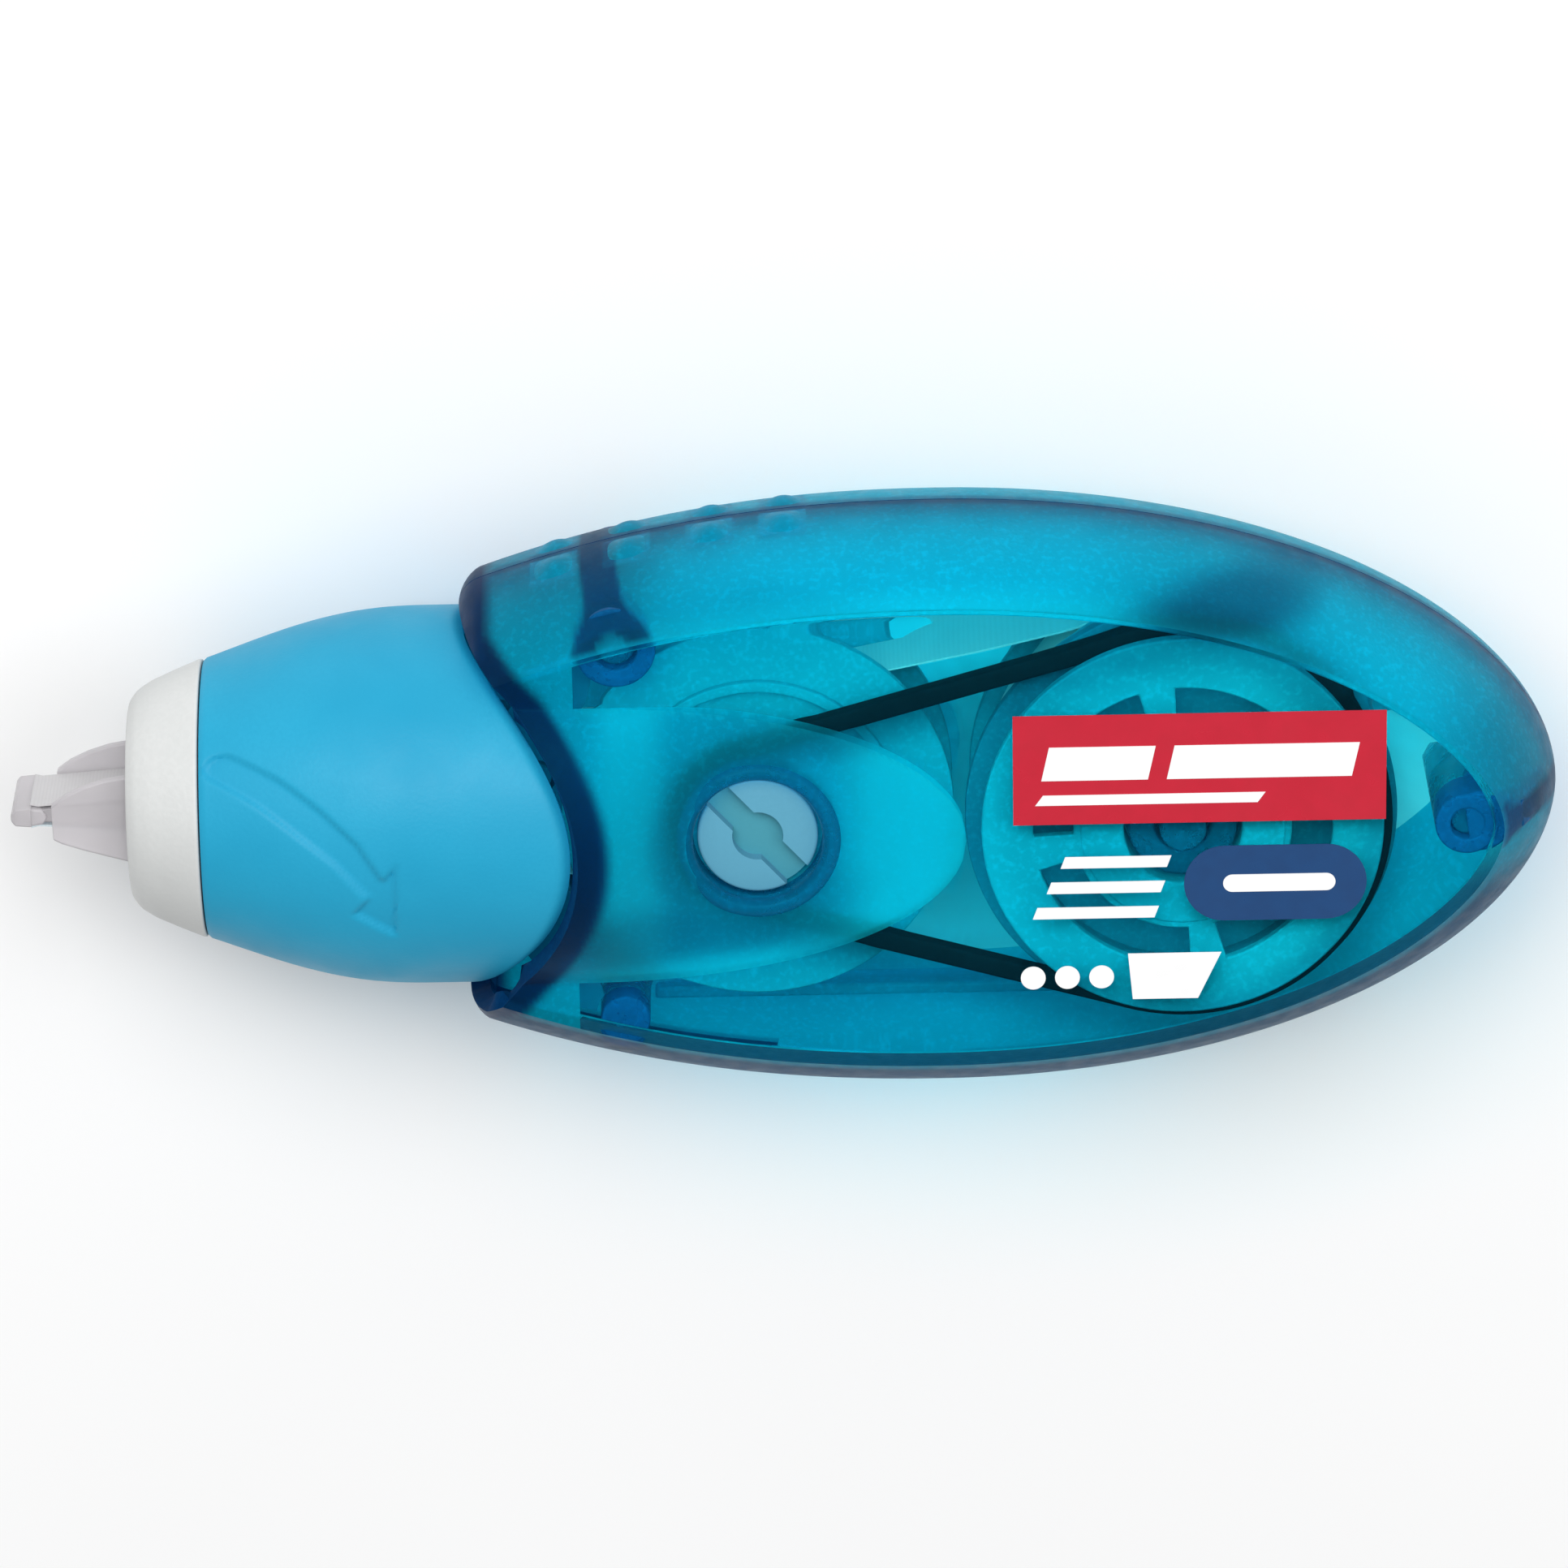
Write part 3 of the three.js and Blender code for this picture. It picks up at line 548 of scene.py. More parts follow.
def painted_shade_and_seam(x, y, z):
    """How dark the wall is painted: a dark seam line, darker round the mouth, towards the nose and tail and
    where bosses and webs meet the wall, and painted shade underneath, down the bulge's lower flank and as
    the belt's shadow.
    """
    start = mouth_x(y) if abs(y) < MOUTH_R else NOSE_CUT_X
    mouth = 1 - smooth(1.5, 2.6, x - start)
    seam = 0.8 * (1 - smooth(0.2, 1.3, abs(z)))
    # painted shade: the front shell's underside is darkened, away from the lamps
    under = 0.9 * (1 - smooth(8.4, 9.3, z)) * smooth(1.0, 6.0, -y) if z > 0 else 0.0
    # darker towards the seam and the nose
    side = (1 - smooth(2.0, 8.8, abs(z))) * (0.12 + 0.2 * (1 - smooth(-19.0, -2.0, x)))
    tail = 0.3 * smooth(43.0, 49.0, x) if z > 0 else 0.0
    wall = max(side if z > 0 or y > 0 else 0.22 * (1 - smooth(20.0, 34.0, x)), tail)
    return max(mouth, seam, under, wall, flank_shade(x, y, z), 0.34 * belt_shadow(x, y, z),
               0.85 * web_shade(x, y, z))


def flank_shade(x, y, z):
    """Shade on the front bulge: faint over its middle and deeper down its lower flank."""
    if z < 0 or x > BULGE_TIP_X or abs(y) > bulge_width(x):
        return 0.0
    share = -y / bulge_width(x)
    lower = smooth(0.3, 0.6, share) * (1 - smooth(0.8, 0.95, share))
    return (0.08 + 0.34 * lower) * (1 - smooth(-1.0, 6.0, x))


def web_shade(x, y, z):
    """1 on the side wall where a boss and its web are moulded to it, fading to 0 just outside them."""
    if abs(z) > PANEL_Z - 0.02:
        return 0.0
    best = 0.0
    for bx, by, radius, bore, _, _, reach in BOSSES:
        away, spot = Vector(reach) - Vector((bx, by)), Vector((x - bx, y - by))
        run = spot.dot(away) / away.length_squared
        off = abs(spot.cross(away)) / away.length
        width = web_width(radius, min(1.0, max(0.0, run)))
        web = 1 - smooth(width - 0.15, width + 0.3, off) if run > 0 else 0.0
        disc = 1 - smooth(radius - 0.15, radius + 0.15, spot.length)
        hole = 1 - smooth(bore - 0.15, bore + 0.1, spot.length) if bore else 0.0
        best = max(best, max(web, disc) * (1 - 0.8 * hole))
    return best


def web_width(radius, t):
    """Half the width of a boss's teardrop web, from the boss at 0 to the wall at 1."""
    return 0.45 * radius + 0.53 * radius * (1 - smooth(0.2, 0.75, t))


def belt_shadow(x, y, z):
    """Painted shadow of the belt where it lies close behind the frosted wall, and of the big pulley's disc,
    from 0 to 1.
    """
    lean = math.asin((BELT_BIG - BELT_SMALL) / (SUPPLY_X - TAKEUP_X))
    round_small = abs(math.hypot(x - TAKEUP_X, y) - BELT_SMALL)
    round_big = abs(math.hypot(x - SUPPLY_X, y) - BELT_BIG)
    ahead = (x - TAKEUP_X) * math.cos(lean) + abs(y) * math.sin(lean)
    straight = abs(abs(y) * math.cos(lean) - (x - TAKEUP_X) * math.sin(lean) - BELT_SMALL)
    reach = straight if 0 < ahead < (SUPPLY_X - TAKEUP_X) * math.cos(lean) else 99.0
    near = min(round_small if x < TAKEUP_X + 2 else 99.0, round_big if x > SUPPLY_X - 4 else 99.0, reach)
    # painted shadow of the big pulley's disc, above the belt
    disc = 1.9 * (1 - smooth(0.3, 1.0, math.hypot((x - SUPPLY_X - 3.4) / 9.0, (y - 15.0) / 2.6)))
    return max(1 - smooth(0.3, 2.6, near), disc) if z > 0 else 0.0


def painted_light_mask(x, y, z):
    """Painted light on the frosted wall: brighter over the bulge's tail and its nose end, a painted
    highlight along its lower flank, and along the window's border.
    """
    if abs(y) < bulge_width(x) and x < BULGE_TIP_X:
        tail = smooth(TAKEUP_X + 3.5, TAKEUP_X + 8.0, x)
        flank = smooth(0.72, 1.0, -y / bulge_width(x)) * smooth(-16.0, -12.0, x)
        nose = 0.7 * smooth(-13.0, -10.5, x) * (1 - smooth(-9.0, -6.5, x))
        return 0.75 * max(tail, flank, nose)
    return 0.35 * smooth(7.4, 9.3, abs(z)) * smooth(-16.0, -8.0, x) * (1 - smooth(20.0, 34.0, x))


def walled(name, points, faces, regions, side):
    """A closed wall from its outer surface: the rim at the mouth stays square to the barrel's axis."""
    bm = bmesh.new()
    verts = [bm.verts.new(Vector(p)) for p in points]
    for face, region in zip(faces, regions):
        try:
            bm.faces.new([verts[i] for i in face]).material_index = region
        except ValueError:
            continue
    bmesh.ops.remove_doubles(bm, verts=bm.verts, dist=0.01)
    bmesh.ops.dissolve_degenerate(bm, edges=bm.edges, dist=0.005)
    bmesh.ops.delete(bm, geom=[v for v in bm.verts if not v.link_faces], context="VERTS")
    bmesh.ops.recalc_face_normals(bm, faces=bm.faces)
    bm.normal_update()
    if sum(f.normal.z * side for f in bm.faces) < 0:
        bmesh.ops.reverse_faces(bm, faces=bm.faces)
        bm.normal_update()
    outer, rim = list(bm.faces), [e for e in bm.edges if len(e.link_faces) == 1]
    bounds = {v for e in rim for v in e.verts}
    inner = {}
    # Per-vertex painted marks: thin carries painted light, edge carries painted shade and the dark seam
    # line.
    edge, thin = bm.verts.layers.float.new("edge"), bm.verts.layers.float.new("thin")
    for vert in list(bm.verts):
        vert[edge], vert[thin] = painted_shade_and_seam(*vert.co), painted_light_mask(*vert.co)
        normal = vert.normal.copy()
        if vert in bounds:
            if abs(vert.co.z) < 2 * PARTING_GAP:
                normal.z = 0
                if vert.co.x < NOSE_CUT_X + 0.01:
                    normal.x = 0
            else:
                normal.x = 0
            normal.normalize()
        inner[vert] = vert.co - normal * WALL
    inner = {vert: bm.verts.new(co, vert) for vert, co in inner.items()}
    for face in outer:
        made = bm.faces.new([inner[v] for v in reversed(face.verts)])
        made.material_index = face.material_index
    for edge in rim:
        a, b = edge.verts
        bm.faces.new([a, b, inner[b], inner[a]]).material_index = 2
    bmesh.ops.recalc_face_normals(bm, faces=bm.faces)
    for vert in bm.verts:
        vert.co = place(vert.co)
    mesh = bpy.data.meshes.new(name)
    bm.to_mesh(mesh)
    bm.free()
    return mesh


def cutter_from(name, outline, low, high):
    """A bar that cuts a hole."""
    cutter = bpy.data.objects.new(name, extruded(name, outline, low, high))
    bpy.context.scene.collection.objects.link(cutter)
    return cutter


def cut_away(obj, cutter):
    """Cuts the cutter's shape out of an object for good, and removes the cutter."""
    cut = obj.modifiers.new("cut", "BOOLEAN")
    cut.object = cutter
    cut.operation = "DIFFERENCE"
    cut.solver = "EXACT"
    apply_modifiers(obj)
    bpy.data.objects.remove(cutter)


def apply_modifiers(obj):
    """Turns the modified shape into the object's own mesh."""
    graph = bpy.context.evaluated_depsgraph_get()
    mesh = bpy.data.meshes.new_from_object(obj.evaluated_get(graph), depsgraph=graph)
    bm = bmesh.new()
    bm.from_mesh(mesh)
    bmesh.ops.remove_doubles(bm, verts=bm.verts, dist=0.002 * MM)
    bmesh.ops.dissolve_degenerate(bm, edges=bm.edges, dist=0.002 * MM)
    bm.to_mesh(mesh)
    bm.free()
    obj.modifiers.clear()
    obj.data = mesh
    mesh.set_sharp_from_angle(angle=SHARP_ANGLE)


def build_shell(name, side, node_name):
    """One half of the body, on the +Z side or the -Z side."""
    mesh = walled(name, *shell_surface(side), side)
    obj = new_object(name, mesh, [WINDOW, FROST, RIM], "housing", (node_name,))
    if side > 0:
        cut_away(obj, cutter_from("hub_cutter", circle(TAKEUP_X, 0, HUB_HOLE_R, 100), 5.0, 12.0))


# ---- fittings of the shells ----
FLOOR_Z = PANEL_Z - WALL  # inner face of the panels
hub_low, hub_high = box_mm("takeup_hub")
HUB_R = (hub_high.x - hub_low.x) / 2
HUB_GAP = 0.28  # between the hub and the ring round it
PIN_END_Z = 2.0  # the front shell's pins reach down to here


def shell_fitting(name, mesh, material, shell):
    return new_object(name, mesh, [material], "housing", (shell,))


def build_hub_ring():
    """Ring boss round the take-up hub."""
    inside = HUB_R + HUB_GAP
    profile = [(inside, 6.9), (5.2, 6.9), (5.35, 8.9), (4.95, 9.3), (4.4, 9.3), (inside, 8.9)]
    ring = turned_z("hub_ring", TAKEUP_X, rounded(profile, 0.3))
    shell_fitting("hub_ring", ring, BOSS, "front_shell")


def side_z(x, y):
    """Height of the side surface over a point, from its distance to the outline."""
    return crown_z((half_height(x) - abs(y)) * outline_slope(x))


def teardrop_web(name, x, y, radius, top, reach):
    """The web from a boss out to the wall: as wide as the boss at one end, narrowing to the wall."""
    start, away = Vector((x, y)), Vector(reach) - Vector((x, y))
    across = Vector((-away.y, away.x)).normalized()
    steps, upper, lower = 12, [], []
    for i in range(steps + 1):
        t = i / steps
        width = web_width(radius, t)
        centre = start + away * t
        height = min(top - 0.1, side_z(*centre) - WALL - 0.15)
        for sign in (1, -1):
            spot = centre + across * width * sign
            upper.append((spot.x, spot.y, height))
            lower.append((spot.x, spot.y, -height))
    count = len(upper)
    faces = []
    for i in range(0, count - 2, 2):
        faces += [(i, i + 1, i + 3, i + 2), (count + i, count + i + 2, count + i + 3, count + i + 1)]
        faces += [(i, i + 2, count + i + 2, count + i), (i + 1, count + i + 1, count + i + 3, i + 3)]
    faces += [(0, count, count + 1, 1), (count - 2, count - 1, 2 * count - 1, 2 * count - 2)]
    return mesh_from(name, upper + lower, faces)


def build_boss(index, x, y, radius, hole, top, foot, reach):
    """A boss with its post, pin and web."""
    floor = -FLOOR_Z + 0.2
    if foot > floor:
        post = turned_z(f"boss_post_{index}", x, ring_profile(hole, radius, floor, foot, 0.2), 64, y)
        shell_fitting(f"boss_post_{index}", post, POST, "rear_shell")
    shaft = turned_z(f"boss_{index}", x, ring_profile(hole, radius, max(floor, foot), top, 0.2), 64, y)
    shell_fitting(f"boss_{index}", shaft, PINS, "rear_shell")
    if hole:
        pin_profile = ring_profile(0.0, hole - 0.08, PIN_END_Z, top - 0.8, 0.15)
        pin = turned_z(f"boss_pin_{index}", x, pin_profile, 48, y)
        shell_fitting(f"boss_pin_{index}", pin, BOSS, "front_shell")
    web = teardrop_web(f"boss_web_{index}", x, y, radius, top, reach)
    soften(shell_fitting(f"boss_web_{index}", web, PINS, "rear_shell"), 0.15)


def grip_bump(name, x, low, high, length=1.5, rise=0.36, steps=12):
    """A low finger ridge beside the top seam, swelling from the wall and fading into it."""
    upper, lower = [], []
    for i in range(steps + 1):
        for j in range(steps + 1):
            u, v = 2 * i / steps - 1, 2 * j / steps - 1
            z = low + (high - low) * j / steps
            wall = half_height(x + u * length) - CROWN * (z / PANEL_Z) ** 2
            lift = rise * math.cos(u * math.pi / 2) ** 2 * math.cos(v * math.pi / 2)
            upper.append((x + u * length, wall + lift - 0.03, z))
            lower.append((x + u * length, wall - 0.4, z))
    size = steps + 1
    faces = grid_faces(size, size)
    count = size * size
    faces += [tuple(count + i for i in reversed(face)) for face in faces]
    rim = [i for i in range(size)] + [i * size + steps for i in range(1, size)]
    rim += [steps * size + i for i in range(steps - 1, -1, -1)]
    rim += [i * size for i in range(steps - 1, 0, -1)]
    faces += [(a, b, count + b, count + a) for a, b in zip(rim, rim[1:] + rim[:1])]
    mesh = mesh_from(name, upper + lower, faces)
    shell_fitting(name, mesh, FROST, "front_shell" if high > 0 else "rear_shell")


def build_grip_bumps():
    near, far = 0.45, 3.2  # from the parting plane
    for index, x in enumerate((-14.5, -9.8, -4.5, 0.2)):
        grip_bump(f"grip_bump_front_{index}", x, near, far)
        grip_bump(f"grip_bump_rear_{index}", x, -far, -near)


def build_supply_axle():
    """Axle post of the supply spool, with the front shell's pin in it."""
    post = turned_z("supply_axle_post", SUPPLY_X, ring_profile(1.8, 3.5, -FLOOR_Z + 0.2, 7.1, 0.25), 96)
    shell_fitting("supply_axle_post", post, BOSS, "rear_shell")
    pin_profile = ring_profile(0.0, 1.5, PIN_END_Z, FLOOR_Z - 0.1, 0.2)
    pivot = turned_z("supply_axle_pin", SUPPLY_X, pin_profile, 64)
    shell_fitting("supply_axle_pin", pivot, BOSS, "front_shell")


def build_lower_rib():
    rib = extruded("lower_rib", bar_shape(-8.7, 25.0, -16.0, -15.2), -5.6, -3.0)
    soften(shell_fitting("lower_rib", rib, FROST, "rear_shell"), 0.2)


# ---- barrel, collar and nose ----
BARREL_R = 12.25
SADDLE_X, SADDLE_DEPTH = -20.5, 6.8
BARREL_FRONT = -37.4
GRIP_OUTSIDE = ((-37.4, 9.05), (-36.6, 9.32), (-35.05, 9.88), (-32.95, 10.62), (-30.84, 11.27),
                (-28.74, 11.77), (-26.63, 12.1), (-24.5, 12.25))


def grip_radius(x):
    if x >= GRIP_OUTSIDE[-1][0]:
        return BARREL_R
    for (xa, ra), (xb, rb) in zip(GRIP_OUTSIDE, GRIP_OUTSIDE[1:]):
        if x <= xb:
            return ra + (rb - ra) * max(0.0, (x - xa) / (xb - xa))
    return BARREL_R


def smooth_grip_radius(x):
    """The grip's outline with the corners between its points eased."""
    reach = 1.4
    return sum(grip_radius(x + reach * k / 4) for k in range(-4, 5)) / 9 if x > -36 else grip_radius(x)


def saddle_x(angle):
    """Rear edge of the barrel: angle is measured from the front side towards the top."""
    return SADDLE_X + SADDLE_DEPTH * math.cos(angle) ** 2


# Twist arrow, engraved: its middle line as (x, degrees from the front side, half-width), and its head
ARROW = ((-35.9, 33.5, 1.15), (-32.85, 23.3, 1.2), (-30.3, 13.2, 1.2), (-28.05, 3.7, 1.05),
         (-26.2, -8.2, 0.8))
ARROW_HEAD = ((-24.8, 0.4), (-27.6, -17.5), (-25.0, -25.5))
ENGRAVED = 0.3
GRIP_WALL = 1.5
FRONT_EASING, REAR_EASING = (0.12, 0.25), (0.5, 0.9)  # how far each edge rounds off, and over what length


def arrow_depth(x, angle):
    """0 outside the arrow and 1 inside it, with eased edges."""
    y = BARREL_R * math.radians(angle)
    best = -9.0
    for (xa, aa, wa), (xb, ab, wb) in zip(ARROW, ARROW[1:]):
        a, b = Vector((xa, BARREL_R * math.radians(aa))), Vector((xb, BARREL_R * math.radians(ab)))
        along = b - a
        t = min(1.0, max(0.0, (Vector((x, y)) - a).dot(along) / along.length_squared))
        best = max(best, wa + (wb - wa) * t - (Vector((x, y)) - a - along * t).length)
    head = [Vector((px, BARREL_R * math.radians(pa))) for px, pa in ARROW_HEAD]
    inside = 9.0
    turn = (head[1] - head[0]).cross(head[2] - head[0])
    for i in range(3):
        side = head[(i + 1) % 3] - head[i]
        inside = min(inside, side.cross(Vector((x, y)) - head[i]) / side.length * (1 if turn > 0 else -1))
    return smooth(-0.12, 0.16, max(best, inside))


def grip_mesh():
    steps, along = 360, 96
    inner_front = [(-24.0, BARREL_R - GRIP_WALL), (-30.4, 9.9), (-33.6, 8.95), (-36.4, 8.8), (-36.4, 8.2),
                   (BARREL_FRONT, 8.2)]
    points = []
    for step in range(steps):
        angle = 2 * math.pi * step / steps
        rear = saddle_x(angle)
        degrees = math.degrees(angle)
        signed = degrees if degrees < 180 else degrees - 360
        row = []
        for i in range(along + 1):
            x = BARREL_FRONT + (rear - BARREL_FRONT) * i / along
            easing = sum(depth * max(0.0, 1 - gap / length) ** 2 for gap, (depth, length) in
                         ((x - BARREL_FRONT, FRONT_EASING), (rear - x, REAR_EASING)))
            cut = ENGRAVED * arrow_depth(x, signed) if -45 < signed < 60 else 0.0
            row.append((x, smooth_grip_radius(x) - easing - cut))
        row += [(rear, BARREL_R - GRIP_WALL), *inner_front]
        points += [(x, r * math.sin(angle), r * math.cos(angle)) for x, r in row]
    return mesh_from("grip_skin", points, grid_faces(steps, along + 8, True, True))


def build_barrel():
    new_object("grip_skin", grip_mesh(), [GRIP], "twist_barrel", ("barrel_grip",))


def build_collar():
    corners = [(-42.3, 5.0), (-42.3, 6.35), (-41.75, 7.1), (-40.84, 7.68), (-39.3, 8.36), (-37.5, 9.1),
               (-37.5, 7.9), (-34.8, 7.9), (-34.8, 6.25), (-41.3, 6.25), (-41.3, 5.0)]
    mesh = turned_x("collar_skin", rounded(corners, 0.3, 4), 160)
    new_object("collar_skin", mesh, [COLLAR], "nose_slider", ("nose_collar",))


def tip_plate_outline():
    top = [(-47.3, 0.95), (-46.4, 1.62), (-45.2, 2.2), (-43.8, 2.66), (-42.3, 2.9), (-36.0, 3.0)]
    low = [(-36.0, -3.1), (-42.3, -3.1), (-43.9, -2.65), (-45.4, -2.2), (-46.7, -1.75), (-47.25, -1.45)]
    return top + low


def tip_piece(name, outline, low, high, edge):
    obj = new_object(name, extruded(name, outline, low, high), [TIP], "housing", ("applicator_tip",))
    soften(obj, edge)


def build_tip():
    """Applicator tip: two side plates, the blade between them, and the bar that presses the tape."""
    tip_piece("tip_plate_front", tip_plate_outline(), 2.7, 3.3, 0.14)
    tip_piece("tip_plate_rear", tip_plate_outline(), -3.3, -2.7, 0.14)
    blade = [(-48.6, -0.42), (-36.0, -1.1), (-36.0, 1.1), (-48.6, 0.42)]
    tip_piece("tip_blade", blade, -2.62, 2.62, 0.15)
    bar = [(-49.95, -0.25), (-49.7, -0.6), (-48.6, -0.7), (-48.6, 0.7), (-49.7, 0.6), (-49.95, 0.25)]
    tip_piece("tip_bar", bar, -2.9, 2.9, 0.12)
    nub = [(-48.7, -0.62), (-47.9, -0.5), (-47.6, 0.0), (-47.9, 0.5), (-48.7, 0.62)]
    tip_piece("tip_nub_front", nub, 2.2, 2.9, 0.12)
    tip_piece("tip_nub_rear", nub, -2.9, -2.2, 0.12)


# ---- spools ----
SUPPLY, TAKEUP = ("supply_spool", SUPPLY_X), ("takeup_spool", TAKEUP_X)
SUPPLY_BORE, TAKEUP_BORE = 3.8, 3.5
PULLEY_R, PULLEY_BACK_R = 12.9, 13.9
RIM_WIDTH = 0.8  # of the pulley's front disc and back disc, and half of the groove between them
SPOKES, FIRST_SPOKE, SPOKE_HALF = 4, 10, 7  # count, then degrees
BAY_IN, BAY_OUT = 7.0, 9.6  # radii of the windows between the spokes
FLANGES = (("rear", -3.7, -2.9), ("front", 2.9, 3.7))
TAPE_HALF = 2.5


def spool_ring(name, spool, inner, outer, low, high, replaced, material=SPOOL, edge=0.12):
    body, centre_x = spool
    mesh = turned_z(name, centre_x, ring_profile(inner, outer, low, high, edge))
    new_object(name, mesh, [material], body, (replaced,))


def spoked_disc():
    """Front disc of the supply pulley: four curved windows between four spokes."""
    gap = math.radians(SPOKE_HALF)
    holes = [circle(SUPPLY_X, 0, SUPPLY_BORE, 64)]
    for k in range(SPOKES):
        first = FIRST_SPOKE + 360 // SPOKES * k
        start, end = math.radians(first) + gap, math.radians(first + 360 // SPOKES) - gap
        far = circle(SUPPLY_X, 0, BAY_OUT, 28, start, end, False)
        near = circle(SUPPLY_X, 0, BAY_IN, 28, end, start, False)
        holes.append(far + near)
    front = BELT_Z + RIM_WIDTH
    return extruded("supply_disc", circle(SUPPLY_X, 0, PULLEY_R, 128), front, BELT_Z + 2 * RIM_WIDTH, holes)


def build_supply_pulley():
    disc = new_object("supply_disc", spoked_disc(), [SPOOL], "supply_spool", ("supply_pulley",))
    soften(disc, 0.12)
    low, high = BELT_Z - RIM_WIDTH, BELT_Z + 0.85
    spool_ring("supply_groove", SUPPLY, 9.8, 11.95, low, high, "supply_pulley", SHADED_SPOOL)
    low, high = BELT_Z - 2 * RIM_WIDTH, BELT_Z - RIM_WIDTH
    spool_ring("supply_back_disc", SUPPLY, SUPPLY_BORE, PULLEY_BACK_R, low, high, "supply_pulley", SHADED_SPOOL)
    low, high = BELT_Z - 0.85, BELT_Z + 1.75
    spool_ring("supply_pulley_hub", SUPPLY, SUPPLY_BORE, 6.6, low, high, "supply_pulley", edge=0.2)


def build_flanges_and_cores():
    for side, low, high in FLANGES:
        spool_ring(f"supply_{side}_rim", SUPPLY, 7.8, 13.4, low, high, f"supply_{side}_flange")
        spool_ring(f"takeup_{side}_rim", TAKEUP, TAKEUP_BORE, 12.7, low, high, f"takeup_{side}_flange")
    spool_ring("takeup_bead", TAKEUP, 8.5, 9.2, 3.65, 4.3, "takeup_front_flange")
    spool_ring("supply_barrel", SUPPLY, SUPPLY_BORE, 7.5, -3.7, 3.7, "supply_core")
    spool_ring("takeup_barrel", TAKEUP, TAKEUP_BORE, 4.8, -TAPE_HALF, TAPE_HALF, "takeup_core")


def build_windings():
    """The wound tape on the supply spool, and the used film on the take-up spool."""
    spool_ring("supply_winding", SUPPLY, 7.55, 12.4, -TAPE_HALF, TAPE_HALF, "supply_tape_pack", TAPE,
               0.08)
    spool_ring("takeup_winding", TAKEUP, 4.85, 5.7, -TAPE_HALF, TAPE_HALF, "takeup_tape_pack", FILM,
               0.08)


def build_washer_and_small_pulley():
    spool_ring("clutch_washer_skin", SUPPLY, 4.8, 10.0, 3.85, 4.25, "slip_clutch_washer", WASHER,
               0.1)
    spool_ring("takeup_pulley_back", TAKEUP, TAKEUP_BORE, 6.3, 4.5, 5.2, "takeup_pulley")
    spool_ring("takeup_pulley_drum", TAKEUP, TAKEUP_BORE, 4.55, 5.15, 6.7, "takeup_pulley")


SLOT_DEPTH = 0.9
SLOT_HALF, SLOT_WAIST = 0.93, 1.64
SLOT_LEAN = math.radians(-48)
CAP_FOOT_Z = 6.75


def slot_outline(half_width, waist, steps=12):
    """A straight slot with a round middle, as half-lengths beyond the hub's edge."""
    reach = HUB_R + 0.6
    turn = math.asin(half_width / waist)
    right = [(waist * math.cos(a), waist * math.sin(a))
             for a in [turn + (math.pi - 2 * turn) * i / steps for i in range(steps + 1)]]
    left = [(-x, -y) for x, y in right]
    return [(reach, half_width), *right, (-reach, half_width), (-reach, -half_width), *left,
            (reach, -half_width)]


def build_hub():
    """Take-up hub: a round cap with eased edges and a coin slot, on a shaft."""
    top = hub_high.z
    profile = rounded(bar_shape(0.0, HUB_R, CAP_FOOT_Z, top), 0.22)
    mesh = turned_z("hub_cap", TAKEUP_X, profile)
    cap = new_object("hub_cap", mesh, [HUB, SLOT_IN_SHADE], "takeup_spool", ("takeup_hub",))
    cos, sin = math.cos(SLOT_LEAN), math.sin(SLOT_LEAN)
    outline = [(TAKEUP_X + x * cos - y * sin, x * sin + y * cos)
               for x, y in slot_outline(SLOT_HALF, SLOT_WAIST)]
    cut_away(cap, cutter_from("slot_cutter", outline, top - SLOT_DEPTH, top + 1.0))
    # the slot's floor takes the darker slot colour, painted shade in the recess
    floor = MID_Z + (top - SLOT_DEPTH) * MM
    for polygon in cap.data.polygons:
        polygon.material_index = 1 if abs(polygon.center.z - floor) < 0.02 * MM else 0
    soften(cap, 0.08)
    spool_ring("hub_shaft", TAKEUP, 2.45, 3.2, -3.9, 6.8, "takeup_hub", HUB)


# ---- belt and tape ----
BELT_HALF = 0.62
RIBBON_HALF = 0.06
# The tape's way from the supply spool to the tip, and its way back from the tip to the take-up spool
FEED_ROUTE = ((24.4, 12.7), (-14.2, 5.0), (-15.0, 4.75), (-15.8, 4.5), (-17.6, 4.25), (-36.0, 1.6),
              (-48.2, 0.68), (-48.7, 0.8))
RETURN_ROUTE = [(x, -y) for x, y in reversed(FEED_ROUTE[4:])] + [(-15.8, -4.5), (-14.2, -4.7), (-3.0, -6.1)]


def belt_path():
    big, small = BELT_BIG, BELT_SMALL
    lean = math.asin((big - small) / (SUPPLY_X - TAKEUP_X))
    wide = circle(SUPPLY_X, 0, big, 96, -math.pi / 2 - lean, math.pi / 2 + lean, False)
    narrow = circle(TAKEUP_X, 0, small, 48, math.pi / 2 + lean, 1.5 * math.pi - lean, False)
    ends = [(wide[-1], narrow[0]), (narrow[-1], wide[0])]
    runs = [[(a[0] + (b[0] - a[0]) * t / 12, a[1] + (b[1] - a[1]) * t / 12) for t in range(1, 12)]
            for a, b in ends]
    return wide + runs[0] + narrow + runs[1]


def swept(name, path, section, closed):
    """A section of (across, up) carried along a flat path."""
    points = []
    count = len(path)
    for i, (x, y) in enumerate(path):
        a = path[i - 1] if closed or i > 0 else path[0]
        b = path[(i + 1) % count] if closed or i + 1 < count else path[-1]
        length = math.dist(a, b)
        nx, ny = (b[1] - a[1]) / length, -(b[0] - a[0]) / length
        points += [(x + nx * u, y + ny * u, v) for u, v in section]
    faces = grid_faces(count, len(section), closed, True)
    if not closed:
        size = len(section)
        faces += [tuple(range(size)), tuple(range((count - 1) * size, count * size))]
    return mesh_from(name, points, faces)


